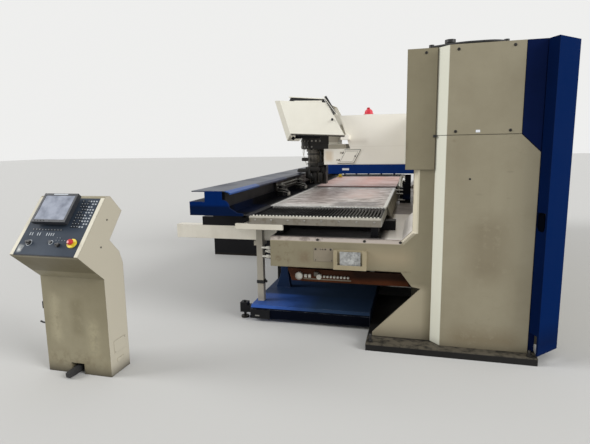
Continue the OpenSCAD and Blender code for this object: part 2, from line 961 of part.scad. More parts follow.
// Body of one clamp: its block, its lower jaw, and the ears that hold the pin
module clamp_body() {
    ear_t = 8;
    along_y(-clamp_w / 2, clamp_w / 2)
        polygon([[bar_face, rail_mid + 2], [bar_face, sheet_z + 110], [bar_face + 24, sheet_z + 110],
            [pivot[0] - 18, sheet_z + 84], [pivot[0] - 18, sheet_z], [jaw_x, sheet_z],
            [jaw_x, tray_z + 2], [lip_x - 56, tray_z + 2], [lip_x - 56, rail_mid - 2],
            [bar_face, rail_mid - 2]]);
    for (y = [-clamp_w / 2, clamp_w / 2 - ear_t])
        along_y(y, y + ear_t)
            polygon([[pivot[0] - 20, sheet_z + 84], [pivot[0] + 14, sheet_z + 72],
                [pivot[0] + 14, sheet_z + 40], [pivot[0] - 20, sheet_z + 40]]);
    translate([pivot[0], 0, pivot[1]])
        rotate([90, 0, 0])
            cylinder(r = 6, h = clamp_w, center = true);
}

module clamp_bodies() {
    color("silver")
        for (i = [1 : 3])
            translate([0, clamp_y(i), 0])
                clamp_body();
}

// Upper jaw, turning on the pin of its body
module clamp_jaw(i) {
    half = clamp_w / 2 - 8 - slip;
    color("gainsboro")
        translate([0, clamp_y(i), 0])
            difference() {
                union() {
                    along_y(-half, half)
                        polygon([pivot + [0, 16], [jaw_x, sheet_z + 36], [jaw_x, sheet_z + 3],
                            [jaw_x - 18, sheet_z + 3], pivot + [-8, -14]]);
                    translate([pivot[0], 0, pivot[1]])
                        rotate([90, 0, 0])
                            cylinder(r = 16, h = 2 * half, center = true);
                }
                translate([pivot[0], 0, pivot[1]])
                    rotate([90, 0, 0])
                        cylinder(r = 6 + fit, h = clamp_w, center = true);
            }
}

// Side view of the console's folded housing
panel_low = [-console_y, panel_z];
panel_high = panel_low + [312, 342];

module console_side() {
    translate([-console_y, 0])
        polygon([[217, 0], [224, panel_z - 199], [0, panel_z], [312, panel_z + 342],
            [357, panel_z + 342], [469, panel_z + 229], [313, panel_z + 50], [405, panel_z - 46],
            [437, panel_z - 134], [427, 0]]);
}

module console_housing() {
    color("wheat")
        difference() {
            along_x(console_x, console_x + console_w)
                console_side();
            block([console_x + 190, 165 - console_y, -past], [console_x + 295, 305 - console_y, 75]);
            for (at = [estop_at, push_at])
                on_panel(at[0], at[1])
                    translate([0, 0, -20])
                        cylinder(r = 13, h = 20 + past);
        }
}

slope_len = norm(panel_high - panel_low);
slope_deg = atan2(panel_high[1] - panel_low[1], panel_high[0] - panel_low[0]);

// Places a child on the sloped panel: x across, s up the slope, on the surface
module on_panel(x, s) {
    translate([console_x + x, panel_low[0], panel_low[1]])
        rotate([slope_deg, 0, 0])
            translate([0, s, 0])
                children();
}

module console_panel() {
    color("slategray")
        difference() {
            on_panel(strip_w, 6)
                cube([console_w - 2 * strip_w, slope_len - 24, panel_t]);
            for (hole = [[knob_left_at, 6], [knob_right_at, 6], [estop_at, 10], [push_at, 11]])
                on_panel(hole[0][0], hole[0][1])
                    translate([0, 0, -past])
                        cylinder(r = hole[1] + fit, h = 2 * past + panel_t);
        }
}

module console_monitor() {
    color("dimgray")
        on_panel(88, slope_len - monitor_h - 20)
            difference() {
                union() {
                    translate([0, 0, panel_t + 22])
                        cube([monitor_w, monitor_h, 34]);
                    translate([60, 40, panel_t])
                        cube([monitor_w - 120, monitor_h - 110, 22]);
                }
                translate([16, 18, panel_t + 53])
                    cube([monitor_w - 32, monitor_h - 34, past]);
            }
}

// Places of the controls on the panel, across and up
estop_at = [428, 96];
push_at = [267, 99];
knob_left_at = [104, 91];
knob_right_at = [332, 80];

module estop_collar() {
    color("yellow")
        on_panel(estop_at[0], estop_at[1])
            translate([0, 0, panel_t])
                difference() {
                    cylinder(r = estop_r + 13, h = 8);
                    translate([0, 0, -past])
                        cylinder(r = 10 + fit, h = 3 * past);
                }
}

module estop_button() {
    color("red")
        on_panel(estop_at[0], estop_at[1])
            translate([0, 0, panel_t])
                rotate_extrude()
                    polygon([[0, -panel_t - 4], [10, -panel_t - 4], [10, 18], [estop_r, 18],
                        [estop_r + 1, 24], [estop_r - 3, 32], [0, 35]]);
}

// Turning knob with a shaft and a grip bar
module knob(r) {
    translate([0, 0, panel_t + slip])
        cylinder(r = r, h = 12);
    translate([-r, -4, panel_t + slip + 12])
        cube([2 * r, 8, 8]);
    translate([0, 0, slip])
        cylinder(r = 6, h = panel_t);
}

module knob_left() {
    color("black")
        on_panel(knob_left_at[0], knob_left_at[1])
            knob(17);
}

module knob_right() {
    color("black")
        on_panel(knob_right_at[0], knob_right_at[1])
            knob(14);
}

module push_button() {
    color("gray")
        on_panel(push_at[0], push_at[1])
            translate([0, 0, -4])
                cylinder(r = 11, h = 4 + panel_t + 12);
}

floor_slabs();
end_towers();
side_plates();
middle_column();
front_cover_upper();
front_cover_lower();
corner_panel();
corner_door();
roof_vent();
roof_hose();
upper_arm();
arm_band();
arm_hatch();
beacon();
head_collar();
head_barrel();
head_guide();
hood_guides();
head_hood();
hood_vent();
punch_ram();
tool_holder();
die_holder();
die_bolster();
end_beds();
bed_core();
bed_nose();
base_pan();
pan_feet();
manifold_beam();
manifold_fittings();
near_table();
far_table();
near_comb();
far_comb();
table_supports();
table_skirts();
table_legs();
guide_beams();
chain_trough();
document_pocket();
throat_unit();
rail_beam();
rail_cover();
rail_ends();
rail_base();
rail_rams();
carriage_bar();
clamp_bodies();
clamp_jaw(1);  // clamp_jaw_1
clamp_jaw(2);  // clamp_jaw_2
clamp_jaw(3);  // clamp_jaw_3
console_housing();
console_panel();
console_monitor();
estop_button();
estop_collar();
knob_left();
knob_right();
push_button();
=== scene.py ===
# %% [markdown]
# # A punching machine for sheet metal
# This notebook dresses a finished mechanical model. The frame, the arm, the table and the rail
# come in as fixed solids. Here they get paint, wear and dirt, and the small pieces that a step
# back doesn't show: screws, keys, hoses, seals and louvres.
# Everything is in metres. +X runs into the throat, +Y along the machine, +Z up.

import math

import bmesh
import bpy
import numpy as np
from mathutils import Matrix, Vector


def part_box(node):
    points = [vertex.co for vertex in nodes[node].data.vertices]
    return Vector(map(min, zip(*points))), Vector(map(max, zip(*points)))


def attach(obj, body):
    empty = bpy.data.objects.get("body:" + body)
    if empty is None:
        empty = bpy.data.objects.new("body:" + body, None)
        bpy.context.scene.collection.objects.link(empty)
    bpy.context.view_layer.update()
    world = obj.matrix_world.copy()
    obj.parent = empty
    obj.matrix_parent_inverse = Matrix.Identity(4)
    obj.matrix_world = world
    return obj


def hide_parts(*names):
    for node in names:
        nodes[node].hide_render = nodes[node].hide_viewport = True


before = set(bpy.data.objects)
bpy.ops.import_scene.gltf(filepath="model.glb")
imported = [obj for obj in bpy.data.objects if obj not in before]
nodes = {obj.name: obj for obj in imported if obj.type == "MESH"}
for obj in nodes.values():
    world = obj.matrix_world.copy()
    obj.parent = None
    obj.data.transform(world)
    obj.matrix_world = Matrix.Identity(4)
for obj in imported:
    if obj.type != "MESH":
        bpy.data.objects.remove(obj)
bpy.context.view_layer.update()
print("solids loaded:", len(nodes))

# %% [markdown]
# ## The camera
# The picture was taken from standing height, with a wide lens. A camera needs a place and three
# directions. It is turned first about the vertical, then tipped down, then rolled a little.
# Working the directions out one by one, rather than by constraints, keeps the numbers in sight.

# %% Camera
PICTURE_WIDTH = 590
FOCAL_PIXELS = 460.0
SENSOR_MM = 36.0
CAMERA_PLACE = (1.3112, -6.1731, 1.5479)
YAW, PITCH, ROLL = np.radians([14.71, 9.41, 0.99])


def camera_matrix(place, yaw, pitch, roll):
    """Columns are the camera's right, up and backward directions, and its place."""
    ahead = np.array([-math.sin(yaw), math.cos(yaw), 0.0])
    right = np.array([math.cos(yaw), math.sin(yaw), 0.0])
    down = np.array([0.0, 0.0, -1.0])
    forward = math.cos(pitch) * ahead + math.sin(pitch) * down
    below = math.cos(pitch) * down - math.sin(pitch) * ahead
    rolled_right = math.cos(roll) * right + math.sin(roll) * below
    rolled_down = math.cos(roll) * below - math.sin(roll) * right
    matrix = np.eye(4)
    matrix[:3] = np.stack([rolled_right, -rolled_down, -forward, place], 1)
    return Matrix(matrix.tolist())


lens = bpy.data.cameras.new("camera")
lens.sensor_width = SENSOR_MM
lens.lens = FOCAL_PIXELS / PICTURE_WIDTH * SENSOR_MM
lens.clip_end = 200
camera = bpy.data.objects.new("camera", lens)
camera.matrix_world = camera_matrix(CAMERA_PLACE, YAW, PITCH, ROLL)
bpy.context.scene.collection.objects.link(camera)
bpy.context.scene.camera = camera
print("lens in mm:", round(lens.lens, 2))

# %% [markdown]
# ## Meshes from arrays
# Each new piece is a surface over two numbers: how far along it a ring lies, and how far round
# the ring a point lies. One function skins such rings, and the others only say where the rings
# go. Blender's own primitives would do for boxes, but then every piece would need its own way of
# being placed. Here a piece is points in the machine's own frame from the start.

# %% Skin over rings
ACROSS = {"x": (1, 2, 0), "y": (0, 2, 1), "z": (0, 1, 2)}


def loft(rings):
    """Skin over rings[i, j], point j of ring i. Quads join each ring to the next, the ends are capped."""
    count, size, _ = rings.shape
    here = np.arange(size)
    after = (here + 1) % size
    start = np.arange(count - 1)[:, None] * size
    quads = np.stack([start + here, start + after, start + size + after, start + size + here], -1)
    caps = [list(range(size))[::-1], list(range((count - 1) * size, count * size))]
    return rings.reshape(-1, 3), quads.reshape(-1, 4).tolist() + caps


def prism(outline, low, high, along="y"):
    """An outline of the two other coordinates, in X, Y, Z order, carried from low to high."""
    outline = np.asarray(outline, float)
    first, second, third = ACROSS[along]
    rings = np.zeros((2, len(outline), 3))
    rings[:, :, first] = outline[:, 0]
    rings[:, :, second] = outline[:, 1]
    rings[0, :, third] = low
    rings[1, :, third] = high
    return loft(rings)


def brick(low, high):
    """A box between two corners, as a prism over its floor plan."""
    plan = [(low[0], low[1]), (high[0], low[1]), (high[0], high[1]), (low[0], high[1])]
    return prism(plan, low[2], high[2], "z")


print("points and faces of a plain box:", [len(part) for part in brick((0, 0, 0), (1, 1, 1))])

# %% [markdown]
# Screws, nuts and lamps are turned: a profile of radius and height goes round an axis. That needs
# two directions square to the axis, and a circle laid out in them.

# %% Turned shapes


def side_ways(way):
    """The unit direction of way, and two more that are square to it and to each other."""
    way = np.asarray(way, float) / np.linalg.norm(way)
    guide = np.array([0.0, 0.0, 1.0]) if abs(way[2]) < 0.9 else np.array([1.0, 0.0, 0.0])
    side = np.cross(guide, way)
    side /= np.linalg.norm(side)
    return way, side, np.cross(way, side)


def full_turn(sides):
    """The angles of so many points, evenly round a circle."""
    return np.linspace(0, 2 * np.pi, sides, endpoint=False)


def spokes(turn, side, third):
    """The unit spoke at each angle a: cos a side + sin a third."""
    return np.cos(turn)[:, None] * side + np.sin(turn)[:, None] * third


def lathe(profile, at, way=(0, 0, 1), sides=24):
    """Turns pairs of radius and height about the line through at: at + h way + r (cos a, sin a)."""
    way, side, third = side_ways(way)
    profile = np.asarray(profile, float)[:, :, None, None]
    out = profile[:, 0] * spokes(full_turn(sides), side, third)
    return loft(np.asarray(at, float) + profile[:, 1] * way + out)


three_ways = np.array(side_ways((1, 2, 3)))
print("directions square to each other:", np.allclose(three_ways @ three_ways.T, np.eye(3)))

# %% [markdown]
# Hoses and rods are bent: a circle is carried along a path. A curve object with a bevel does this
# too, but its circle can twist on the way. Here one fixed guide direction keeps it from twisting.

# %% Bent shapes
PIPE_GUIDE = np.array([0.11, 0.07, 0.99])


def route(points, per=8):
    """Catmull-Rom curve through the points, worked out for every span at once."""
    known = np.asarray(points, float)
    padded = np.vstack([2 * known[0] - known[1], known, 2 * known[-1] - known[-2]])
    t = np.linspace(0, 1, per, endpoint=False)[None, :, None]
    a, b, c, d = (padded[k:len(padded) - 3 + k][:, None] for k in range(4))
    curve = 0.5 * (2 * b + (c - a) * t + (2 * a - 5 * b + 4 * c - d) * t**2 + (3 * b - a - 3 * c + d) * t**3)
    return np.vstack([curve.reshape(-1, 3), known[-1]])


def pipe(path, radius, sides=12):
    """A round section carried along a path: centre + r (cos a side + sin a third) at every point."""
    path = np.asarray(path, float)
    ahead = np.gradient(path, axis=0)
    ahead /= np.linalg.norm(ahead, axis=1)[:, None]
    side = np.cross(PIPE_GUIDE, ahead)
    side /= np.linalg.norm(side, axis=1)[:, None]
    third = np.cross(ahead, side)
    return loft(path[:, None] + radius * spokes(full_turn(sides), side[:, None], third[:, None]))


def hose(points, radius, sides=12, per=8):
    """A pipe along the smooth curve through a few points."""
    return pipe(route(points, per), radius, sides)


print("points on a route through three:", len(route([(0, 0, 0), (1, 0, 0), (1, 1, 0)])))

# %% [markdown]
# Screws of one kind, or the keys of one field, make one piece between them. A piece for each would
# fill the list of pieces and tell nothing more.

# %% Several shapes as one


def gather(*shapes):
    """Puts several shapes in one, each one's faces numbered past the vertices before it."""
    starts = np.cumsum([0] + [len(verts) for verts, _ in shapes[:-1]])
    faces = [[int(start) + k for k in face] for start, (_, own) in zip(starts, shapes) for face in own]
    return np.concatenate([verts for verts, _ in shapes]), faces


print("points of two boxes as one:", len(gather(*[brick((k, 0, 0), (k + 1, 1, 1)) for k in (0, 2)])[0]))

# %% [markdown]
# A piece isn't finished when its points are known. Doubled points at the poles are merged, the
# faces are turned outwards, edges are rounded where the real one is folded or cast, and the piece
# is told which moving body it belongs to.

# %% Put a piece in the scene
SHARP = math.radians(35)
made = []


def put(name, shape, material, body="frame", bevel=0.0):
    """Makes one object from a shape, and lets it ride on a body of the machine."""
    mesh = bpy.data.meshes.new(name)
    mesh.from_pydata(shape[0].tolist(), [], shape[1])
    work = bmesh.new()
    work.from_mesh(mesh)
    bmesh.ops.remove_doubles(work, verts=work.verts, dist=1e-6)
    bmesh.ops.recalc_face_normals(work, faces=work.faces)
    work.to_mesh(mesh)
    work.free()
    mesh.shade_smooth()
    mesh.set_sharp_from_angle(angle=SHARP)
    mesh.materials.append(material)
    thing = bpy.data.objects.new(name, mesh)
    bpy.context.scene.collection.objects.link(thing)
    if bevel:
        rounding = thing.modifiers.new("rounded edges", "BEVEL")
        rounding.width = bevel
        rounding.segments = 2
        rounding.limit_method = "ANGLE"
        rounding.angle_limit = SHARP
        rounding.harden_normals = True
    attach(thing, body)
    made.append(name)
    print("made", name, "with", len(mesh.polygons), "faces")
    return thing


# %% [markdown]
# ## Small helpers for materials
# A material is a tree of nodes. Two helpers add a node and link or set its sockets, and the others
# hand its output on, so that a material below reads like a formula.

# %% Add a node


def feed(tree, node, inputs):
    """Links each input that is given a socket, and sets each that is given a value."""
    for key, value in inputs.items():
        if isinstance(value, bpy.types.NodeSocket):
            tree.links.new(value, node.inputs[key])
        else:
            node.inputs[key].default_value = value


def add(tree, kind, inputs=None, out=0, **settings):
    """Adds a node, makes its settings, feeds its inputs and returns one output."""
    node = tree.nodes.new(kind)
    for key, value in settings.items():
        setattr(node, key, value)
    feed(tree, node, inputs or {})
    return node.outputs[out]


# %% [markdown]
# Most finishes are sums of noise. Noise alone is an even grey cloud, so it is spread until only its
# peaks are left, and these are used as a share between two colours.

# %% Sums and noise


def calc(tree, operation, a, b=0.0, c=0.0):
    """One step of arithmetic on values."""
    return add(tree, "ShaderNodeMath", {0: a, 1: b, 2: c}, operation=operation)


def spread(tree, value, low, high, start=0.0, end=1.0):
    """Maps low to start and high to end, and holds the value between them."""
    return add(tree, "ShaderNodeMapRange", {0: value, 1: low, 2: high, 3: start, 4: end})


def mixed(tree, share, a, b):
    """Colour a where share is 0, colour b where it is 1."""
    return add(tree, "ShaderNodeMix", {0: share, 6: a, 7: b}, 2, data_type="RGBA")


def noise(tree, place, scale, detail=4.0, rough=0.55):
    """Cloudy noise between 0 and 1."""
    return add(tree, "ShaderNodeTexNoise", {"Vector": place, "Scale": scale, "Detail": detail,
                                            "Roughness": rough})


def stretched(tree, place, scale):
    """The same place with each axis multiplied, so that a pattern is drawn out along one of them."""
    return add(tree, "ShaderNodeVectorMath", {0: place, 1: scale}, operation="MULTIPLY")


# %% [markdown]
# An effect that many finishes share is built once, as a group with named sockets, and each finish
# places it with its own values.

# %% Shared groups
NUMBER, VECTOR = "NodeSocketFloat", "NodeSocketVector"


def group(name, inputs, outputs):
    """A new node group with named sockets. Returns the tree, its inputs and its output node."""
    tree = bpy.data.node_groups.new(name, "ShaderNodeTree")
    for label, kind, value in inputs:
        socket = tree.interface.new_socket(label, in_out="INPUT", socket_type=kind)
        socket.default_value = value
    for label, kind in outputs:
        tree.interface.new_socket(label, in_out="OUTPUT", socket_type=kind)
    return tree, tree.nodes.new("NodeGroupInput").outputs, tree.nodes.new("NodeGroupOutput")


def use(tree, shared, inputs):
    """Places a shared group in a material and returns its outputs by name."""
    holder = tree.nodes.new("ShaderNodeGroup")
    holder.node_tree = shared
    feed(tree, holder, inputs)
    return holder.outputs


# %% [markdown]
# Colours are written as they are picked from a screen and turned into linear light, because that is
# what a shader reckons with.

# %% Materials and colours


def principled(name):
    """A new material, its node tree and its main shader."""
    material = bpy.data.materials.new(name)
    material.use_nodes = True
    return material, material.node_tree, material.node_tree.nodes["Principled BSDF"]


def rgb(red, green, blue):
    """A colour written from 0 to 255, as the linear light that a shader wants."""
    written = np.array([red, green, blue], float) / 255
    linear = np.where(written <= 0.04045, written / 12.92, ((written + 0.055) / 1.055) ** 2.4)
    return (*linear.tolist(), 1.0)


print("middle grey as linear light:", round(rgb(128, 128, 128)[0], 3))

# %% [markdown]
# ## Floor, world and lamps
# A pale studio shows paint as it is. The world gives soft light from all round. Camera rays and
# mirror rays see a plain pale wall instead of the dimmer light that the surfaces get.

# %% World
WORLD_LIGHT = 0.62
DIM_LIGHT = (1, 0.99, 0.97, 1)
WALL = (0.86, 0.86, 0.85, 1)

scene = bpy.context.scene
scene.view_settings.view_transform = "Standard"
world = bpy.data.worlds.new("studio")
scene.world = world
world.use_nodes = True
wall_tree = world.node_tree
wall_tree.nodes.clear()
seen_plainly = 0.0
for ray in ("Is Camera Ray", "Is Glossy Ray", "Is Transmission Ray"):
    seen_plainly = calc(wall_tree, "MAXIMUM", add(wall_tree, "ShaderNodeLightPath", out=ray), seen_plainly)
dim = add(wall_tree, "ShaderNodeBackground", {"Color": DIM_LIGHT, "Strength": WORLD_LIGHT})
plain = add(wall_tree, "ShaderNodeBackground", {"Color": WALL})
chosen = add(wall_tree, "ShaderNodeMixShader", {0: seen_plainly, 1: dim, 2: plain})
wall_tree.links.new(chosen, wall_tree.nodes.new("ShaderNodeOutputWorld").inputs["Surface"])
print("nodes of the world:", len(wall_tree.nodes))

# %% [markdown]
# Two wide lamps, one on each side, make the folds readable, and the floor takes their shadows.

# %% Lamps and floor
LAMP_ANGLE = math.radians(30)
LAMPS = {"left lamp": (1.9, (-0.86, -0.24, 0.45)), "right lamp": (2.1, (0.84, -0.28, 0.46))}
FLOOR = (0.52, 0.52, 0.51, 1)
FLOOR_REACH = 60.0

for lamp_name, (power, lamp_way) in LAMPS.items():
    lamp = bpy.data.lights.new(lamp_name, "SUN")
    lamp.energy = power
    lamp.angle = LAMP_ANGLE
    lamp_object = bpy.data.objects.new(lamp_name, lamp)
    way, side, third = side_ways(lamp_way)
    turned = np.eye(4)
    turned[:3, :3] = np.stack([side, third, way], 1)
    lamp_object.matrix_world = Matrix(turned.tolist())
    scene.collection.objects.link(lamp_object)

corners = np.array([(-1, -1, 0), (1, -1, 0), (1, 1, 0), (-1, 1, 0)]) * FLOOR_REACH
floor_mesh = bpy.data.meshes.new("floor")
floor_mesh.from_pydata(corners.tolist(), [], [(0, 1, 2, 3)])
floor_paint, _, floor_shader = principled("floor")
floor_shader.inputs["Base Color"].default_value = FLOOR
floor_shader.inputs["Roughness"].default_value = 0.9
floor_mesh.materials.append(floor_paint)
floor = bpy.data.objects.new("floor", floor_mesh)
scene.collection.objects.link(floor)
print("lamps:", len(bpy.data.lights))

# %% [markdown]
# ### Worn edges
# Paint goes first where a surface turns sharply. A Bevel node gives the normal that the edge
# would have if it were rounded. Where that differs from the true normal, there is an edge. Noise
# then breaks the line up, because nothing wears evenly.

# %% Worn edges group
edges_group, given, result = group(
    "worn edges",
    [("Radius", NUMBER, 0.004), ("Break-up", NUMBER, 14.0), ("Amount", NUMBER, 0.5)],
    [("Mask", NUMBER), ("Normal", VECTOR)])
tree = edges_group
place = add(tree, "ShaderNodeTexCoord", out="Object")
rounded = add(tree, "ShaderNodeBevel", {"Radius": given["Radius"]}, samples=4)
true_normal = add(tree, "ShaderNodeNewGeometry", out="Normal")
agreement = add(tree, "ShaderNodeVectorMath", {0: rounded, 1: true_normal}, "Value",
                operation="DOT_PRODUCT")
edge = spread(tree, agreement, 0.995, 0.86)
patchy = spread(tree, noise(tree, place, given["Break-up"], 5.0, 0.65), 0.42, 0.62)
chipped = calc(tree, "MULTIPLY", edge, patchy)
tree.links.new(calc(tree, "MULTIPLY", chipped, given["Amount"]), result.inputs["Mask"])
tree.links.new(rounded, result.inputs["Normal"])
print("nodes for worn edges:", len(tree.nodes))

# %% [markdown]
# ### Grime
# Workshop dirt has three shapes: soft patches, streaks that run down, and a dark hem above the
# floor where brooms and shoes reach. Each is a separate output, so a material can weigh them.

# %% Grime group
grime_group, given, result = group(
    "grime",
    [("Patch size", NUMBER, 2.0), ("Hem height", NUMBER, 0.3)],
    [("Patches", NUMBER), ("Streaks", NUMBER), ("Hem", NUMBER), ("Scuffs", NUMBER)])
tree = grime_group
place = add(tree, "ShaderNodeTexCoord", out="Object")
cloud = noise(tree, place, given["Patch size"], 6.0, 0.62)
tree.links.new(spread(tree, cloud, 0.42, 0.72), result.inputs["Patches"])
drips = noise(tree, stretched(tree, place, (9.0, 9.0, 0.7)), 1.6, 5.0, 0.6)
tree.links.new(spread(tree, drips, 0.5, 0.75), result.inputs["Streaks"])
height = add(tree, "ShaderNodeSeparateXYZ", {0: place}, "Z")
uneven = calc(tree, "MULTIPLY_ADD", noise(tree, place, 7.0, 5.0, 0.7), 0.5, 0.45)
low_down = spread(tree, calc(tree, "DIVIDE", height, given["Hem height"]), 1.0, 0.0)
hem = calc(tree, "MULTIPLY", calc(tree, "POWER", low_down, 1.6), uneven)
tree.links.new(calc(tree, "MULTIPLY", hem, 1.5), result.inputs["Hem"])
bent = noise(tree, stretched(tree, place, (3.0, 3.0, 9.0)), 2.2, 2.0, 0.5)
line = spread(tree, calc(tree, "ABSOLUTE", calc(tree, "SUBTRACT", bent, 0.5)), 0.006, 0.0)
some = spread(tree, noise(tree, place, 3.1, 2.0), 0.52, 0.66)
tree.links.new(calc(tree, "MULTIPLY", line, some), result.inputs["Scuffs"])
print("nodes for grime:", len(tree.nodes))

# %% [markdown]
# ### A stain in a box
# Some marks sit at one place, such as the pale wear on a fold or the rub of a sheet. A box with
# soft sides gives a mask for such a place.

# %% Box mask group
box_group, given, result = group(
    "inside a box",
    [("Low", VECTOR, (0, 0, 0)), ("High", VECTOR, (1, 1, 1)), ("Soft", NUMBER, 0.01)],
    [("Mask", NUMBER)])
tree = box_group
place = add(tree, "ShaderNodeTexCoord", out="Object")
inside = None
for axis in "XYZ":
    value = add(tree, "ShaderNodeSeparateXYZ", {0: place}, axis)
    low = add(tree, "ShaderNodeSeparateXYZ", {0: given["Low"]}, axis)
    high = add(tree, "ShaderNodeSeparateXYZ", {0: given["High"]}, axis)
    past_low = calc(tree, "DIVIDE", calc(tree, "SUBTRACT", value, low), given["Soft"])
    before_high = calc(tree, "DIVIDE", calc(tree, "SUBTRACT", high, value), given["Soft"])
    within = spread(tree, calc(tree, "MINIMUM", past_low, before_high), 0.0, 1.0)
    inside = within if inside is None else calc(tree, "MULTIPLY", inside, within)
tree.links.new(inside, result.inputs["Mask"])
print("nodes for the mask of a box:", len(tree.nodes))

# %% [markdown]
# ### Drawn metal
# Bare steel shows the way it was worked or slid over. Noise drawn out along one direction gives
# fine lines, and a slower noise gives the dull and bright patches between them.

# %% Drawn metal group
drawn_group, given, result = group(
    "drawn metal",
    [("Stretch", VECTOR, (60, 2, 60)), ("Patch size", NUMBER, 3.0)],
    [("Lines", NUMBER), ("Patches", NUMBER)])
tree = drawn_group
place = add(tree, "ShaderNodeTexCoord", out="Object")
fine = noise(tree, stretched(tree, place, given["Stretch"]), 1.0, 6.0, 0.7)
tree.links.new(spread(tree, fine, 0.3, 0.7), result.inputs["Lines"])
broad = noise(tree, place, given["Patch size"], 5.0, 0.65)
tree.links.new(spread(tree, broad, 0.36, 0.66), result.inputs["Patches"])
print("nodes for drawn metal:", len(tree.nodes))

# %% [markdown]
# ## Painted sheet metal
# Old machine paint is a flat colour with a slight ripple, dulled by hand grease, darker where
# dirt stays, and bare at the edges. It also has marks that sit at one place. Such a stain is a box
# with soft sides, a colour, and noise that eats into it.

# %% Stains
FAR = 9.0
ALL = (-FAR, FAR)


def stain(xs, zs, soft, colour, strength, ragged, ys=ALL):
    """A stain: the corners of its box, its softness, colour, strength, and how ragged it is from 0 to 1."""
    low, high = zip(xs, ys, zs)
    return low, high, soft, rgb(*colour), strength, ragged


def stained(tree, colour, stains):
    """Lays each stain over a colour. At raggedness 0 the noise cuts nothing out of it, at 1 nearly half."""
    place = add(tree, "ShaderNodeTexCoord", out="Object")
    for low, high, soft, tint, strength, ragged in stains:
        mask = use(tree, box_group, {"Low": low, "High": high, "Soft": soft})["Mask"]
        kept = spread(tree, noise(tree, place, 16.0, 6.0, 0.7), -0.2 + 0.7 * ragged, 0.201 + 0.42 * ragged)
        share = calc(tree, "MULTIPLY", mask, calc(tree, "MULTIPLY", kept, strength))
        colour = mixed(tree, share, colour, tint)
    return colour


# %% [markdown]
# One function builds every painted finish from a colour and a few amounts, and takes a list of
# stains. The dirt lies under the stains, and the bare edges come last, as they do in use.

# %% Paint
STREAKS = 0.25
HEM_BROWN = rgb(46, 40, 32)


def roughen(tree, shader, look, rough, height, strength, distance, normal=None):
    """Feeds a colour, a roughness and a bump of so much height into the shader."""
    bump = {"Strength": strength, "Distance": distance, "Height": height}
    if normal is not None:
        bump["Normal"] = normal
    tree.links.new(look, shader.inputs["Base Color"])
    tree.links.new(rough, shader.inputs["Roughness"])
    tree.links.new(add(tree, "ShaderNodeBump", bump), shader.inputs["Normal"])


def paint(name, colour, dark, dirt=0.25, hem=0.3, wear=0.5, bare=(90, 84, 76), rough=0.42, stains=(),
          scuffs=0.5, gloss=0.3):
    """Painted sheet metal: patches and streaks of dirt, a hem above the floor, chipped edges."""
    material, tree, shader = principled(name)
    place = add(tree, "ShaderNodeTexCoord", out="Object")
    grime = use(tree, grime_group, {"Patch size": 2.3, "Hem height": max(hem, 0.01)})
    look = rgb(*colour)
    for mask, amount in (("Patches", dirt), ("Streaks", STREAKS * dirt), ("Scuffs", scuffs)):
        look = mixed(tree, calc(tree, "MULTIPLY", grime[mask], amount), look, rgb(*dark))
    look = stained(tree, look, stains)
    if hem:
        look = mixed(tree, calc(tree, "MULTIPLY", grime["Hem"], 0.8), look, HEM_BROWN)
    edges = use(tree, edges_group, {"Radius": 0.005, "Break-up": 11.0, "Amount": wear})
    look = mixed(tree, edges["Mask"], look, rgb(*bare))
    dull = calc(tree, "MULTIPLY_ADD", grime["Patches"], 0.16, rough)
    roughen(tree, shader, look, dull, noise(tree, place, 260.0, 2.0), 0.05, 0.0006, edges["Normal"])
    shader.inputs["Specular IOR Level"].default_value = gloss
    return material


# %% [markdown]
# Metal takes the drawn lines in place of streaks. How far a surface counts as metal is one value
# for the whole finish, but old steel is seldom a mirror, so most finishes here stay well below 1.

# %% Metal


def metal(name, colour, dark, stretch=(60, 2, 60), patch=3.0, patches=0.5, lines=0.35, rough=0.34,
          shine=0.85, stains=(), wear=0.3, bright=(190, 188, 182), gloss=0.5, polished=None):
    """Bare metal: drawn lines, dull patches, bright rubbed edges. The box of one stain can be polished."""
    material, tree, shader = principled(name)
    drawn = use(tree, drawn_group, {"Stretch": stretch, "Patch size": patch})
    look = rgb(*colour)
    for mask, amount in (("Patches", patches), ("Lines", lines)):
        look = mixed(tree, calc(tree, "MULTIPLY", drawn[mask], amount), look, rgb(*dark))
    look = stained(tree, look, stains)
    edges = use(tree, edges_group, {"Radius": 0.0025, "Break-up": 30.0, "Amount": wear})
    look = mixed(tree, edges["Mask"], look, rgb(*bright))
    dull = calc(tree, "MULTIPLY_ADD", drawn["Patches"], 0.22, rough)
    roughen(tree, shader, look, dull, drawn["Lines"], 0.12, 0.0005, edges["Normal"])
    shader.inputs["Metallic"].default_value = shine
    shader.inputs["Specular IOR Level"].default_value = gloss
    if polished:
        low, high, soft = polished[:3]
        mirror = use(tree, box_group, {"Low": low, "High": high, "Soft": soft})["Mask"]
        tree.links.new(spread(tree, mirror, 0.0, 1.0, shine, 0.85), shader.inputs["Metallic"])
    return material


# %% [markdown]
# Plastic and rubber have no bare edges and no drips, only a fine grain and some dust.

# %% Plastic


def plastic(name, colour, rough=0.4, speck=0.12):
    """Moulded plastic or rubber: a fine grain, and dust in slightly lighter patches."""
    material, tree, shader = principled(name)
    place = add(tree, "ShaderNodeTexCoord", out="Object")
    pale = tuple(int(c + (150 - c) * 0.35) for c in colour)
    dust = spread(tree, noise(tree, place, 9.0, 6.0, 0.7), 0.48, 0.75)
    look = mixed(tree, calc(tree, "MULTIPLY", dust, speck), rgb(*colour), rgb(*pale))
    roughen(tree, shader, look, calc(tree, "MULTIPLY_ADD", dust, 0.2, rough),
            noise(tree, place, 900.0, 2.0), 0.1, 0.0003)
    return material
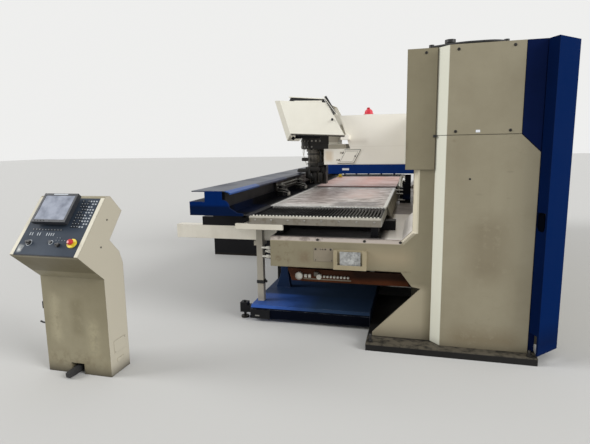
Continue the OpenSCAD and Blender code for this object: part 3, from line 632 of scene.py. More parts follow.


# %% [markdown]
# ## The finishes
# The frame is greige, partly its paint and partly painted shade on faces that stand in the shade;
# the arm and the hood are cream, and the covers on the right are a deep blue. Stains are given by
# box: the pale folded strip beside the front covers, the pale fold of the bed, the scuffed foot of
# the column. A picture painted over the model would show them too, but a box and a noise stay sharp
# from close by and need no unwrapping.

# %% Places that the finishes need
upper_low, upper_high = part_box("front_cover_upper")
FRONT_Y = upper_low.y
PLATE_Y = FRONT_Y + 0.080
BOX_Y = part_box("side_plates")[0].y
PLATE_EDGE_X = upper_low.x
FACE_X = 1.520
DOOR_FOLD_X = 2.161
BED_LIP_Y = -2.655
print("front of the covers in m:", round(FRONT_Y, 3))

# %% [markdown]
# The frame's paints differ little but for their stains, so each list of stains stands right before
# its paint. A box can't slant, so the pale mark that rises at a slant is a row of small boxes.

# %% Paints of the frame
pale_strip = [stain((PLATE_EDGE_X - 0.005, FACE_X - 0.002), (0, FAR), 0.004, (208, 208, 194), 0.97, 0.0,
                    ys=(-FAR, FRONT_Y + 0.079))]
brown_marks = [stain((1.545, 1.585), (1.548, 1.578), 0.020, (100, 84, 62), 0.45, 0.5),
               stain((1.905, 1.965), (1.340, 1.358), 0.018, (96, 88, 74), 0.5, 0.3),
               stain((1.715, 1.770), (1.180, 1.204), 0.020, (100, 92, 78), 0.4, 0.3),
               stain((1.915, 1.955), (1.160, 1.176), 0.016, (100, 92, 78), 0.35, 0.3),
               stain((1.52, 2.12), (0.0, 0.26), 0.12, (112, 98, 74), 0.55, 0.6),
               stain((1.62, 2.02), (0.50, 1.1), 0.15, (112, 101, 80), 0.50, 0.62),
               stain((1.444, 1.52), (0.0, 0.9), 0.3, (186, 176, 148), 0.5, 0.6)]
# The greige base is partly the paint and partly painted shade on the front faces.
greige = paint("greige paint", (147, 140, 119), (120, 111, 90), dirt=0.4, hem=0.12, wear=0.5,
               bare=(72, 66, 58), stains=pale_strip + brown_marks)
back_greige = paint("plain greige paint", (152, 146, 126), (124, 116, 96), dirt=0.4, hem=0.35)
# The first stain paints the gusset paler, as painted light where it lies in shade.
bed_marks_and_light = [stain((0.92, 1.44), (0.0, 0.50), 0.06, (172, 163, 140), 0.8, 0.1),
             stain((0.86, 1.34), (0.58, 0.80), 0.10, (160, 146, 120), 0.6, 0.1),
             stain((0.17, 0.40), (0.57, 0.81), 0.08, (104, 88, 68), 0.7, 1.0),
             stain((0.40, 0.54), (0.60, 0.74), 0.05, (112, 96, 76), 0.65, 0.8),
             stain((0.17, 1.30), (0.575, 0.596), 0.010, (84, 70, 54), 0.5, 0.9),
             stain((0.10, 1.222), (0.796, 0.84), 0.006, (176, 166, 160), 0.8, 0.5, ys=(-FAR, BED_LIP_Y)),
             stain((0.10, 0.62), (0.796, 0.84), 0.004, (70, 58, 50), 0.55, 1.0, ys=(-FAR, BED_LIP_Y)),
             stain((0.62, 1.22), (0.818, 0.84), 0.004, (98, 86, 80), 0.5, 0.9, ys=(-FAR, BED_LIP_Y)),
             stain((1.29, 1.345), (0.884, 1.36), 0.004, (204, 197, 176), 0.95, 0.2, ys=(-FAR, BED_LIP_Y)),
             stain((1.296, 1.308), (1.10, 1.36), 0.003, (104, 84, 56), 0.55, 0.9, ys=(-FAR, BED_LIP_Y)),
             stain((1.20, 1.262), (1.500, 1.570), 0.012, (84, 72, 56), 0.6, 0.6, ys=(-FAR, -2.70)),
             stain((1.23, 1.26), (1.36, 2.2), 0.020, (104, 98, 84), 0.5, 0.1, ys=(-FAR, -2.70))]
SLANT_STEP = 0.0105
for step in SLANT_STEP * np.arange(8):
    bed_marks_and_light.append(stain((1.213 + step, 1.234 + step), (0.803 + step, 0.824 + step), 0.006, (196, 188, 170),
                           0.9, 0.1, ys=(-FAR, BED_LIP_Y)))
# The plate paint is darker still: partly the paint and partly painted shade on the plates' front faces.
plate_cream = paint("plate paint", (133, 126, 104), (108, 98, 78), dirt=0.4, hem=0.2,
                    wear=0.6, bare=(60, 54, 46), stains=bed_marks_and_light)
print("stains on the bed:", len(bed_marks_and_light))

# %% [markdown]
# The arm and the hood get the cleanest paint, with only a warm rub near the head, and the hood's
# left side face is painted darker as painted shade. The same function makes the paint of the
# castings, whose far part is pale: one large stain does that.

# %% Paints of the arm, the hood and the table's legs
arm_marks = [stain((0.1, 1.4), (1.296, 1.313), 0.003, (246, 243, 232), 0.9, 0.0),
             stain((0.15, 0.30), (1.32, 1.50), 0.05, (216, 186, 140), 0.5, 0.2),
             stain((0.1, 1.4), (1.523, 1.528), 0.003, (188, 180, 160), 0.5, 0.4),
             stain((0.1, 0.75), (1.53, 1.64), 0.06, (196, 188, 174), 0.35, 0.1)]
cream = paint("cream paint", (255, 252, 242), (232, 227, 212), dirt=0.14, hem=0.0, wear=0.3,
              bare=(150, 142, 126), scuffs=0.15, gloss=0.9, stains=arm_marks)
# The hood's left end is painted darker, as painted shade on its side face.
hood_side_shade = [stain((-0.56, -0.20), (1.60, 2.14), 0.002, (206, 202, 188), 0.85, 0.1, ys=(-0.397, 0.397))]
hood_cream = paint("hood paint", (252, 250, 238), (224, 219, 202), dirt=0.22, hem=0.0, wear=0.3,
                   bare=(128, 122, 110), scuffs=0.1, stains=hood_side_shade)
cast_marks = [stain((0.208, 0.9), (1.4, 1.9), 0.002, (196, 190, 176), 0.97, 0.0),
              stain((0.208, 0.9), (1.552, 1.585), 0.002, (240, 237, 226), 0.9, 0.1)]
head_casting = paint("head casting paint", (36, 33, 31), (14, 13, 12), dirt=0.8, hem=0.0, wear=0.5,
                     bare=(120, 112, 100), rough=0.4, stains=cast_marks)
# The leg is painted darker, as painted shade on its shaded side.
leg_shade = [stain((-0.12, 0.03), (0.14, 0.86), 0.03, (160, 154, 141), 0.75, 0.2)]
dull_cream = paint("dull cream paint", (208, 203, 190), (176, 168, 148), dirt=0.45, hem=0.25,
                   wear=0.5, bare=(90, 84, 74), stains=leg_shade)
beam_cream = paint("beam paint", (242, 237, 224), (196, 188, 168), dirt=0.45, hem=0.25, wear=0.5,
                   bare=(90, 84, 74))
pocket_paint = paint("pocket paint", (158, 147, 120), (120, 108, 84), dirt=0.5, hem=0.0,
                     wear=0.7, bare=(200, 194, 174))
print("creams:", sum("cream" in m.name for m in bpy.data.materials))

# %% [markdown]
# The blues differ a lot: the covers are nearly black where they turn from the light, and the door's
# face past its fold is painted brighter as painted light; the pan is painted darker under the bed and
# on its front face as painted shade, and paler at its left end; and dust greys the rail.

# %% Blue paints
# The first stain paints the door's face past its fold a brighter blue, as painted light; the second darkens
# its foot.
door_painted_light = [stain((DOOR_FOLD_X + 0.002, 3.0), (0.0, FAR), 0.003, (2, 29, 76), 0.97, 0.0),
              stain((2.0, 3.0), (0.0, 0.30), 0.15, (8, 20, 50), 0.6, 0.2)]
deep_blue = paint("deep blue paint", (3, 17, 50), (3, 12, 36), dirt=0.4, hem=0.1, wear=0.3,
                  bare=(40, 52, 84), rough=0.5, scuffs=0.15, gloss=0.01, stains=door_painted_light)
cup_black = paint("cup paint", (5, 7, 14), (3, 4, 8), dirt=0.2, hem=0.0, wear=0.0, rough=0.7,
                  scuffs=0.0, gloss=0.0)
panel_blue = paint("dark panel paint", (4, 20, 60), (3, 10, 30), dirt=0.35, hem=0.0, wear=0.15,
                   bare=(36, 46, 74), rough=0.5, scuffs=0.1, gloss=0.05)
tray_marks = [stain((-0.42, FAR), (0.90, FAR), 0.05, (9, 9, 12), 0.95, 0.1, ys=(-1.98, FAR)),
              stain((-0.46, FAR), (0.88, FAR), 0.08, (9, 9, 13), 0.9, 0.1, ys=(-FAR, -2.40))]
base_blue = paint("rail base paint", (6, 16, 40), (6, 9, 18), dirt=0.6, hem=0.0, wear=0.3,
                  bare=(50, 58, 84), rough=0.5, gloss=0.04, stains=tray_marks)
band_blue = paint("band paint", (2, 44, 112), (2, 28, 84), dirt=0.3, hem=0.0, wear=0.2,
                  bare=(70, 96, 150), rough=0.45, gloss=0.1, scuffs=0.1)
end_blue = paint("rail end paint", (2, 34, 90), (2, 18, 48), dirt=0.45, hem=0.0, wear=0.35,
                 bare=(70, 84, 116), rough=0.45, gloss=0.03,
                 stains=[stain((-0.6, 0.1), (0.9, 1.075), 0.02, (8, 20, 42), 0.8, 0.1)])
# The first and third stains are painted shade under the bed, and the second paints the pan's front face
# nearly black as painted shadow.
pan_shade_and_marks = [stain((0.20, FAR), ALL, 0.30, (38, 54, 74), 0.94, 0.1),
             stain((-0.2, 1.2), (0.02, 0.128), 0.003, (1, 3, 12), 0.99, 0.0, ys=(-2.48, -2.45)),
             stain((-0.3, 1.2), ALL, 0.05, (36, 50, 70), 0.85, 0.1, ys=(-2.12, 2.12)),
             stain((-0.12, 0.30), (0.125, 0.16), 0.06, (70, 98, 160), 0.35, 0.8, ys=(-2.47, -2.20))]
pan_blue = paint("pan blue paint", (54, 88, 160), (24, 42, 84), dirt=0.7, hem=0.0, wear=0.7,
                 bare=(150, 156, 170), rough=0.42, gloss=0.05, stains=pan_shade_and_marks)
rail_marks = [stain((-0.215, -0.15), (1.13, 1.2), 0.012, (40, 84, 156), 0.8, 0.2, ys=(-3, -1.9)),
              stain((-0.24, -0.15), (1.13, 1.2), 0.020, (30, 44, 84), 0.7, 0.2, ys=(-1.9, -0.9)),
              stain((-0.18, -0.15), (1.13, 1.2), 0.004, (10, 12, 22), 0.8, 0.1, ys=(-0.9, 3)),
              stain((-0.32, -0.19), (1.17, 1.2), 0.05, (96, 92, 100), 0.5, 0.5, ys=(-0.9, 1.2))]
rail_blue = paint("rail cover paint", (54, 60, 74), (36, 40, 50), dirt=0.5, hem=0.0, wear=0.2,
                  bare=(110, 120, 146), rough=0.38, gloss=0.2, stains=rail_marks)
print("blues:", sum("blue" in m.name for m in bpy.data.materials))

# %% [markdown]
# What stands on the floor or under the table is grey, black or primer brown. The beam of primer
# brown darkens towards its far end, where no light gets in.

# %% Grey, black and brown paints
dark_sheet = paint("dark sheet paint", (22, 22, 26), (14, 14, 18), dirt=0.7, hem=0.0, wear=0.4,
                   bare=(90, 90, 92), rough=0.45, gloss=0.2)
grey_paint = paint("grey paint", (118, 113, 104), (62, 56, 50), dirt=0.8, hem=0.0, wear=0.7,
                   bare=(178, 174, 166), rough=0.42)
black_paint = paint("black paint", (22, 22, 25), (12, 12, 13), dirt=0.5, hem=0.05, wear=0.4,
                    bare=(96, 92, 86), rough=0.45, gloss=0.15)
slab_paint = paint("slab paint", (30, 29, 28), (14, 14, 14), dirt=0.6, hem=0.0, wear=0.9,
                   bare=(96, 90, 78), rough=0.5, gloss=0.2,
                   stains=[stain((0.9, 2.2), (0.045, 0.07), 0.004, (96, 90, 78), 0.7, 0.8, ys=(-2.9, -2.7))])
# Its first two stains are painted shadow on the beam's upper part, and the last paints its far end black as
# painted shade.
brown_paint = paint("brown primer", (112, 62, 36), (46, 26, 18), dirt=0.8, hem=0.0, wear=0.5,
                    bare=(150, 110, 84), rough=0.6, gloss=0.1,
                    stains=[stain(ALL, (0.425, FAR), 0.025, (46, 28, 20), 0.65, 0.3),
                            stain((0.80, FAR), (0.41, FAR), 0.05, (24, 16, 12), 0.7, 0.2),
                            stain((1.27, FAR), ALL, 0.015, (12, 10, 9), 0.95, 0.0)])
print("materials so far:", len(bpy.data.materials))

# %% [markdown]
# The console stands nearer than the rest, so its smudges can be told apart. Its right side is
# painted paler than its front, partly a paler paint and partly painted light, and a hard stain that
# ends at the edge keeps the two apart.

# %% Paints of the console
housing_low, housing_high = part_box("console_housing")
RIGHT_X = housing_high.x
# The first stain paints the right side paler: partly its paint, partly painted light.
console_marks_and_light = [stain((RIGHT_X - 0.0006, RIGHT_X + 0.1), (0.0, FAR), 0.0005, (178, 172, 156), 0.97, 0.0),
                 stain((-1.3, RIGHT_X - 0.001), (0.60, 0.885), 0.01, (98, 90, 66), 0.75, 0.1,
                       ys=(-3.90, -3.70)),
                 stain((-1.2, RIGHT_X - 0.001), (0.0, 0.20), 0.08, (112, 100, 78), 0.5, 0.9),
                 stain((-1.15, -1.02), (0.20, 0.60), 0.06, (172, 164, 138), 0.5, 0.8),
                 stain((-0.86, -0.72), (0.10, 0.42), 0.06, (172, 164, 136), 0.45, 0.8),
                 stain((-0.98, -0.84), (0.26, 0.56), 0.05, (108, 100, 76), 0.4, 0.8),
                 stain((RIGHT_X - 0.01, RIGHT_X + 0.1), (0.0, 0.16), 0.06, (116, 104, 84), 0.5, 0.9)]
console_paint = paint("console paint", (143, 136, 113), (116, 108, 84), dirt=0.5, hem=0.10,
                      wear=0.7, bare=(64, 58, 48), scuffs=0.7, stains=console_marks_and_light)
slate_marks = [stain((-1.146, -1.098), (0.898, 0.962), 0.016, (196, 198, 196), 0.95, 0.85, ys=(-3.86, -3.81)),
               stain((-1.10, -0.90), (1.00, 1.10), 0.04, (26, 28, 34), 0.8, 0.1, ys=(-3.72, -3.60))]
slate = paint("slate panel", (55, 64, 76), (34, 39, 48), dirt=0.5, hem=0.0, wear=0.3,
              bare=(120, 126, 134), rough=0.45, scuffs=0.15, gloss=0.12, stains=slate_marks)
print("paints:", sum("paint" in m.name for m in bpy.data.materials))

# %% [markdown]
# ### Metals
# The table is bare steel, brown and grey in patches. Its teeth are painted white as a painted
# highlight, and a pale pink patch in its middle is a painted reflection.

# %% Steel of the table
# The third stain is the painted reflection, and the last one the painted highlight on the teeth.
table_marks_and_glare = [stain((-FAR, 0.60), ALL, 0.06, (240, 238, 234), 0.6, 0.4, ys=(-2.06, -1.80)),
               stain((0.10, 0.62), ALL, 0.14, (158, 140, 136), 0.45, 0.35, ys=(-1.75, -0.2)),
               stain((0.45, 1.02), ALL, 0.20, (240, 216, 208), 0.8, 0.75, ys=(-1.45, -0.2)),
               stain((0.52, 1.04), ALL, 0.09, (126, 122, 122), 0.75, 0.6, ys=(-2.04, -1.60)),
               stain((0.14, 0.50), ALL, 0.08, (120, 102, 98), 0.45, 0.6, ys=(-1.20, -0.15)),
               stain((-FAR, 0.04), ALL, 0.03, (244, 242, 238), 0.8, 0.3, ys=(-2.06, -0.05)),
               stain((1.035, FAR), ALL, 0.008, (238, 238, 234), 0.9, 0.2, ys=(-2.1, -0.05)),
               stain(ALL, ALL, 0.003, (252, 252, 250), 1.0, 0.0, ys=(-2.06, -2.006))]
table_steel = metal("table steel", (252, 246, 242), (126, 110, 105), stretch=(4, 18, 10), patch=8.0,
                    patches=0.85, lines=0.35, rough=0.3, shine=0.22, wear=0.9,
                    stains=table_marks_and_glare, bright=(244, 243, 240),
                    polished=table_marks_and_glare[-1])
far_marks = [stain((0.1, 0.45), ALL, 0.15, (188, 164, 160), 0.8, 0.2, ys=(0, 3)),
             stain((0.5, 0.85), ALL, 0.10, (196, 128, 112), 0.6, 0.2, ys=(0, 3))]
far_steel = metal("far table steel", (206, 162, 152), (150, 104, 94), stretch=(30, 3, 20), patch=2.0,
                  patches=0.4, lines=0.3, rough=0.3, shine=0.35, stains=far_marks)
# The dark stain is painted shadow under the comb, and the pale one a painted reflection on the bed's right
# part.
bed_top_shadow_and_reflection = [stain((-FAR, 1.09), ALL, 0.03, (20, 18, 18), 0.97, 0.0, ys=(-2.64, 2.64)),
                 stain((1.09, FAR), ALL, 0.03, (255, 250, 244), 0.97, 0.1, ys=(-2.66, -1.3))]
bed_top = metal("bed top steel", (170, 162, 158), (96, 88, 86), stretch=(20, 3, 20), patch=3.0,
                patches=0.6, lines=0.3, rough=0.3, shine=0.2, stains=bed_top_shadow_and_reflection)
print("stains on the near table:", len(table_marks_and_glare))

# %% [markdown]
# The slats of the comb are oily and nearly black, but their tips shine. The iron of the head is
# greasy, and only the ram and the caps of the clamps are clean.

# %% Other metals
comb_marks = [stain((-0.1, 1.1), (0.985, 1.0), 0.002, (214, 212, 202), 0.95, 0.2, ys=(-2.70, -2.632)),
              stain((-0.1, 1.1), (0.92, 0.992), 0.002, (130, 125, 115), 0.95, 0.15, ys=(-2.70, -2.655)),
              stain((-0.1, 1.1), (0.976, 0.992), 0.003, (196, 192, 180), 0.8, 0.6, ys=(-2.70, -2.655)),
              stain((-0.1, 1.1), (0.92, 0.985), 0.010, (98, 90, 74), 0.55, 1.0, ys=(-2.70, -2.66)),
              stain((0.60, FAR), ALL, 0.25, (124, 122, 118), 0.55, 0.3, ys=(-2.655, -2.0))]
comb_steel = metal("comb steel", (12, 12, 14), (6, 6, 7), stretch=(30, 4, 30), patch=6.0,
                   patches=0.6, lines=0.3, rough=0.5, shine=0.1, wear=0.12, stains=comb_marks,
                   bright=(120, 120, 118), gloss=0.1)
far_comb_steel = metal("far comb steel", (38, 38, 40), (16, 16, 17), stretch=(30, 4, 30), patch=6.0)
oily_iron = metal("oily iron", (46, 43, 40), (18, 17, 16), stretch=(14, 14, 3), patch=9.0,
                  patches=0.8, lines=0.5, rough=0.36, shine=0.4, wear=0.5, bright=(128, 124, 116))
greasy_steel = metal("greasy steel", (128, 122, 112), (30, 28, 26), stretch=(22, 22, 1.6), patch=8.0,
                     patches=0.85, lines=0.85, rough=0.24, shine=0.7, wear=0.5)
ground_steel = metal("ground steel", (188, 188, 186), (120, 119, 116), stretch=(80, 80, 3),
                     patches=0.35, lines=0.3, rough=0.2, shine=0.9)
clamp_marks = [stain((-0.30, -0.145), (0.90, 1.2), 0.012, (22, 22, 22), 0.9, 0.3),
               stain((-0.094, -0.05), (0.98, 1.03), 0.004, (206, 204, 196), 0.9, 0.2)]
clamp_steel = metal("clamp steel", (70, 69, 66), (20, 19, 19), stretch=(12, 12, 8), patch=12.0,
                    patches=0.9, lines=0.4, rough=0.34, shine=0.45, wear=0.9, stains=clamp_marks,
                    bright=(214, 212, 206))
cap_steel = metal("clamp cap steel", (170, 170, 164), (96, 94, 90), stretch=(9, 9, 9), patch=20.0,
                  patches=0.6, lines=0.3, rough=0.34, shine=0.4, wear=0.6)
bright_bolt = metal("bright bolts", (172, 170, 164), (90, 86, 80), rough=0.3, shine=0.8)
print("metals:", sum("steel" in m.name for m in bpy.data.materials))

# %% [markdown]
# The plastics differ in colour, shine and dust. Paper is made like a metal without its shine: the
# drawn lines are its creases and grey smudges.

# %% Plastics and paper
black_plastic = plastic("black plastic", (20, 20, 22), 0.42)
rubber = plastic("black rubber", (24, 24, 25), 0.62, 0.3)
dark_plastic = plastic("dark plastic", (40, 42, 47), 0.38)
white_plastic = plastic("white plastic", (206, 204, 194), 0.4, 0.35)
key_white = plastic("key caps", (168, 174, 180), 0.4, 0.15)
lamp_grey = plastic("lamp caps", (104, 110, 118), 0.3, 0.1)
label_white = plastic("blank label", (226, 230, 236), 0.45, 0.1)
key_dark = plastic("dark key caps", (30, 32, 38), 0.38, 0.1)
red_plastic = plastic("red plastic", (176, 28, 34), 0.24, 0.08)
beacon_red = plastic("beacon red", (206, 44, 62), 0.3, 0.1)
yellow_plastic = plastic("yellow plastic", (222, 200, 56), 0.3, 0.15)
paper = metal("paper", (196, 198, 196), (104, 104, 104), stretch=(30, 30, 70), patch=42.0, patches=0.75,
              lines=0.4, rough=0.7, shine=0.0, wear=0.0)
print("materials:", len(bpy.data.materials))

# %% [markdown]
# The solids only need new materials in their slots: their shape is right as it is. A list of
# solids under each finish is easier to check against the picture than a finish under each solid.

# %% Finish the solids
FINISH = {
    greige: ["front_cover_upper", "front_cover_lower"],
    back_greige: ["end_towers", "middle_column"],
    plate_cream: ["side_plates"],
    cream: ["upper_arm", "arm_hatch", "hood_guides"],
    hood_cream: ["head_hood"],
    dull_cream: ["table_legs"],
    beam_cream: ["guide_beams"],
    pocket_paint: ["document_pocket"],
    panel_blue: ["corner_panel"],
    deep_blue: ["corner_door"],
    base_blue: ["rail_base"],
    dark_sheet: ["rail_beam"],
    end_blue: ["rail_ends"],
    band_blue: ["arm_band"],
    pan_blue: ["base_pan"],
    rail_blue: ["rail_cover"],
    grey_paint: ["table_skirts"],
    black_paint: ["bed_nose", "pan_feet", "chain_trough", "throat_unit", "table_supports",
                  "rail_rams"],
    slab_paint: ["floor_slabs"],
    brown_paint: ["manifold_beam"],
    console_paint: ["console_housing"],
    slate: ["console_panel"],
    table_steel: ["near_table"],
    far_steel: ["far_table"],
    bed_top: ["end_beds", "bed_core"],
    comb_steel: ["near_comb"],
    far_comb_steel: ["far_comb"],
    head_casting: ["head_collar"],
    oily_iron: ["head_guide", "die_bolster", "carriage_bar"],
    greasy_steel: ["head_barrel", "tool_holder", "die_holder"],
    ground_steel: ["punch_ram"],
    clamp_steel: ["clamp_bodies", "clamp_jaw_1", "clamp_jaw_2", "clamp_jaw_3"],
    black_plastic: ["roof_vent", "hood_vent", "knob_left", "knob_right"],
    dark_plastic: ["console_monitor", "push_button"],
    rubber: ["roof_hose"],
    red_plastic: ["estop_button"],
    beacon_red: ["beacon"],
    yellow_plastic: ["estop_collar"],
    white_plastic: ["manifold_fittings"],
}
for material, names in FINISH.items():
    for name in names:
        for held in nodes[name].material_slots:
            held.material = material
print("solids without a finish:", sorted(set(nodes) - set(sum(FINISH.values(), []))))

# %% [markdown]
# ## The hose on the roof
# A black hose runs from a gland along the roof's front edge to a second gland. It is a tube
# that follows a smooth curve through a few given points. A curve object with a round bevel would
# do as well, but the points of this curve also give the hose its length.

# %% Roof hose
ROOF_Z = upper_high.z
HOSE_R = 0.010
HOSE_POINTS = [(1.400, -2.660), (1.450, -2.682), (1.500, -2.708), (1.560, -2.732), (1.630, -2.748),
               (1.700, -2.750), (1.770, -2.748), (1.830, -2.730), (1.880, -2.690)]
hose_line = route([(x, y, ROOF_Z + HOSE_R) for x, y in HOSE_POINTS], 5)
roof_hose = put("roof_hose_round", pipe(hose_line, HOSE_R - 0.0002, 14), rubber)
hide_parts("roof_hose")

# %% [markdown]
# ## Screws
# Cover screws are turned parts: a washer, a domed head and a recess for the key. A lathe profile
# is a short list of radius and height. Hundreds of screws are cheap when each has few sides.

# %% Screws


def screw(at, way, r=0.009, sides=12):
    """Washer, head and recess, as one turned profile."""
    profile = [(0, 0), (1.5, 0), (1.5, 0.16), (1.0, 0.2), (1.0, 0.62), (0.82, 0.78), (0.55, 0.78),
               (0.5, 0.3), (0, 0.3)]
    return lathe(np.array(profile) * r, at, way, sides)


FRONT = (0, -1, 0)
cover_places = [(1.574, 2.168), (1.922, 2.173), (1.572, 1.626), (1.921, 1.627)]
cover_screws = gather(*[screw((x, FRONT_Y, z), FRONT, 0.007) for x, z in cover_places],
                      screw((1.680, FRONT_Y, 1.299), FRONT, 0.005),
                      screw((1.366, BOX_Y, 2.170), FRONT, 0.007))
put("cover_screws", cover_screws, oily_iron)
put("fold_screws", gather(*[screw((x, -2.674, 0.810), (0, -1, 1), 0.008) for x in (0.574, 0.944, 1.215)]),
    oily_iron)

# %% [markdown]
# ## Console
# Everything on the console sits on its sloped panel. So a point there is given by how far across
# and how far up the slope it lies, and by its height above the sheet. Turning each piece into the
# slope afterwards would do too, but then no measure could be read off the panel.

# %% Console places
PANEL_FOOT = np.array([housing_low.x, -3.865, 0.893])
PANEL_HEAD = np.array([housing_low.x, -3.553, 1.235])
SLOPE_LENGTH = float(np.linalg.norm(PANEL_HEAD - PANEL_FOOT))
UP_SLOPE = (PANEL_HEAD - PANEL_FOOT) / SLOPE_LENGTH
ACROSS_PANEL = np.array([1.0, 0, 0])
OUT_OF_PANEL = np.cross(ACROSS_PANEL, UP_SLOPE)
PANEL_T = 0.005


def on_panel(x, s, h=0.0):
    """Point so far across, up the slope and above the housing's sheet."""
    return PANEL_FOOT + x * ACROSS_PANEL + s * UP_SLOPE + h * OUT_OF_PANEL


def panel_plate(x0, x1, s0, s1, h0, h1):
    """A small plate that lies square on the panel."""
    corners = [(x0, s0), (x1, s0), (x1, s1), (x0, s1)]
    return loft(np.array([[on_panel(x, s, h) for x, s in corners] for h in (h0, h1)]))


print("length of the panel's slope in m:", round(SLOPE_LENGTH, 3))

# %% [markdown]
# The keys are flat plates in two fields and two rows. The rule that leaves some places of the grid
# empty has no meaning: it only breaks the grid up, as the real one is broken up.

# %% Keys


def key(x, s, wide, tall, foot, top):
    """A key with its lower left corner at x, s, between two heights above the panel's sheet."""
    return panel_plate(x, x + wide, s, s + tall, PANEL_T + foot, PANEL_T + top)


pale_keys, dark_keys = [], []
for row in range(10):
    for column in range(6):
        x = 0.359 + 0.0205 * column
        s = 0.214 + 0.0222 * row
        if (row * 3 + column * 5) % 7 == 4:
            continue
        if column < 3:
            dark_keys.append(key(x, s, 0.014, 0.014, 0, 0.004))
            pale_keys.append(key(x + 0.004, s + 0.004, 0.005, 0.005, 0.004, 0.0045))
        else:
            pale_keys.append(key(x, s, 0.0095, 0.0095, 0, 0.004))
for x in 0.082 + 0.0235 * np.arange(10):
    dark_keys.append(key(x, 0.186, 0.013, 0.013, 0, 0.003))
    pale_keys.append(key(x + 0.004, 0.190, 0.004, 0.004, 0.003, 0.0035))
pale_keys += [key(x, 0.146, 0.004, 0.022, 0, 0.003)
              for x in (0.078, 0.095, 0.136, 0.153, 0.206, 0.223, 0.240, 0.257)]
put("console_keys", gather(*pale_keys), key_white)
put("console_dark_keys", gather(*dark_keys), key_dark, bevel=0.0006)
print("keys:", len(pale_keys) + len(dark_keys))

# %% [markdown]
# The lamps between the keys and the dials are small turned caps, with their axis square to the
# panel.

# %% Lamps of the console
LAMP = [(0, 0), (0.004, 0), (0.004, 0.002), (0.002, 0.0035), (0, 0.0036)]
LAMP_PLACES = [(0.300, 0.116), (0.322, 0.116), (0.344, 0.116), (0.300, 0.134), (0.322, 0.134), (0.366, 0.116)]
lamps = [lathe(LAMP, on_panel(x, s, PANEL_T), OUT_OF_PANEL, 12) for x, s in LAMP_PLACES]
put("console_lamps", gather(*lamps), lamp_grey)

# %% [markdown]
# The screen is a pane that sits in the monitor's frame, a little below its rim. It is switched off
# and dusty, so its colour is a smudged grey and its shine is a mirror's.

# %% Monitor
MONITOR_X, MONITOR_W, MONITOR_H = 0.088, 0.262, 0.225
MONITOR_S = SLOPE_LENGTH - MONITOR_H - 0.020
screen_glass, tree, screen_shader = principled("screen glass")
cloud = noise(tree, add(tree, "ShaderNodeTexCoord", out="Object"), 14.0, 5.0)
smudged = mixed(tree, spread(tree, cloud, 0.4, 0.7), rgb(150, 156, 170), rgb(108, 114, 128))
tree.links.new(smudged, screen_shader.inputs["Base Color"])
screen_shader.inputs["Roughness"].default_value = 0.12
put("monitor_screen",
    panel_plate(MONITOR_X + 0.0175, MONITOR_X + MONITOR_W - 0.0175, MONITOR_S + 0.0195,
                MONITOR_S + MONITOR_H - 0.0175, PANEL_T + 0.0525, PANEL_T + 0.0545),
    screen_glass)
put("monitor_strip",
    panel_plate(MONITOR_X + 0.075, MONITOR_X + 0.185, MONITOR_S + MONITOR_H - 0.013,
                MONITOR_S + MONITOR_H - 0.003, PANEL_T + 0.056, PANEL_T + 0.0566),
    key_white)
monitor_knobs = [screw(on_panel(MONITOR_X + 0.03 + 0.022 * k, MONITOR_S + 0.009, PANEL_T + 0.056),
                       OUT_OF_PANEL, 0.0035) for k in range(4)]
put("monitor_buttons", gather(*monitor_knobs), black_plastic)

# %% [markdown]
# Pale strips frame the panel on both sides, and the dials get white rings. A ring is a lathe shape
# whose profile closes on itself, so it needs no caps.

# %% Strips and dial rings
strip_paint = paint("pale strip paint", (214, 210, 194), (170, 162, 140), dirt=0.4, hem=0.0,
                    wear=0.5)
strips = [panel_plate(x, x + 0.027, 0.002, SLOPE_LENGTH - 0.012, 0.0003, 0.005) for x in (0.0005, 0.4825)]
put("console_strips", gather(*strips), strip_paint, bevel=0.001)


def ring(inner, outer, thick, at, way, sides=32):
    """A flat ring round an axis, as a closed lathe profile."""
    way, side, third = side_ways(way)
    profile = np.array([(inner, 0), (outer, 0), (outer, thick), (inner, thick)])[:, :, None]
    spoke = spokes(np.linspace(0, 2 * np.pi, sides + 1), side, third)[:, None]
    verts, faces = loft(np.asarray(at, float) + profile[:, 1] * way + profile[:, 0] * spoke)
    return verts, faces[:-2]


dial_rings = gather(ring(0.0185, 0.022, 0.0012, on_panel(0.104, 0.091, PANEL_T), OUT_OF_PANEL),
                    ring(0.0120, 0.016, 0.0015, on_panel(0.267, 0.099, PANEL_T), OUT_OF_PANEL))
put("dial_rings", dial_rings, key_white)

# %% [markdown]
# The right side of the housing has a small cover and screws, and its left side has a latch.

# %% Sides of the console
side_cover = gather(brick((RIGHT_X, -3.600, 0.150), (RIGHT_X + 0.003, -3.470, 0.240)),
                    brick((RIGHT_X, -3.575, 0.075), (RIGHT_X + 0.004, -3.505, 0.105)))
put("console_side_cover", side_cover, console_paint, bevel=0.001)
side_screws = [screw((RIGHT_X, y, z), (1, 0, 0), 0.0045) for y, z in
               [(-3.561, 1.082), (-3.644, 0.913), (-3.590, 0.160), (-3.480, 0.230)]]
put("console_screws", gather(*side_screws), oily_iron)
LEFT_X = housing_low.x
latch = gather(brick((LEFT_X - 0.012, -3.640, 0.455), (LEFT_X, -3.610, 0.505)),
               hose([(LEFT_X, -3.625, 0.345), (LEFT_X - 0.03, -3.625, 0.345),
                     (LEFT_X - 0.055, -3.625, 0.352)], 0.006, per=5))
put("console_latch", latch, black_plastic)
put("console_panel_seal", panel_plate(0.030, 0.480, -0.0005, 0.0055, 0.0, 0.0045), rubber,
    bevel=0.001)

# %% [markdown]
# ## Head
# Under the hood the head is a stack of castings with pipes and straps. None of it is clean. First
# come the straps round the barrel and the bolts of the collar: turned parts, set out by angle.

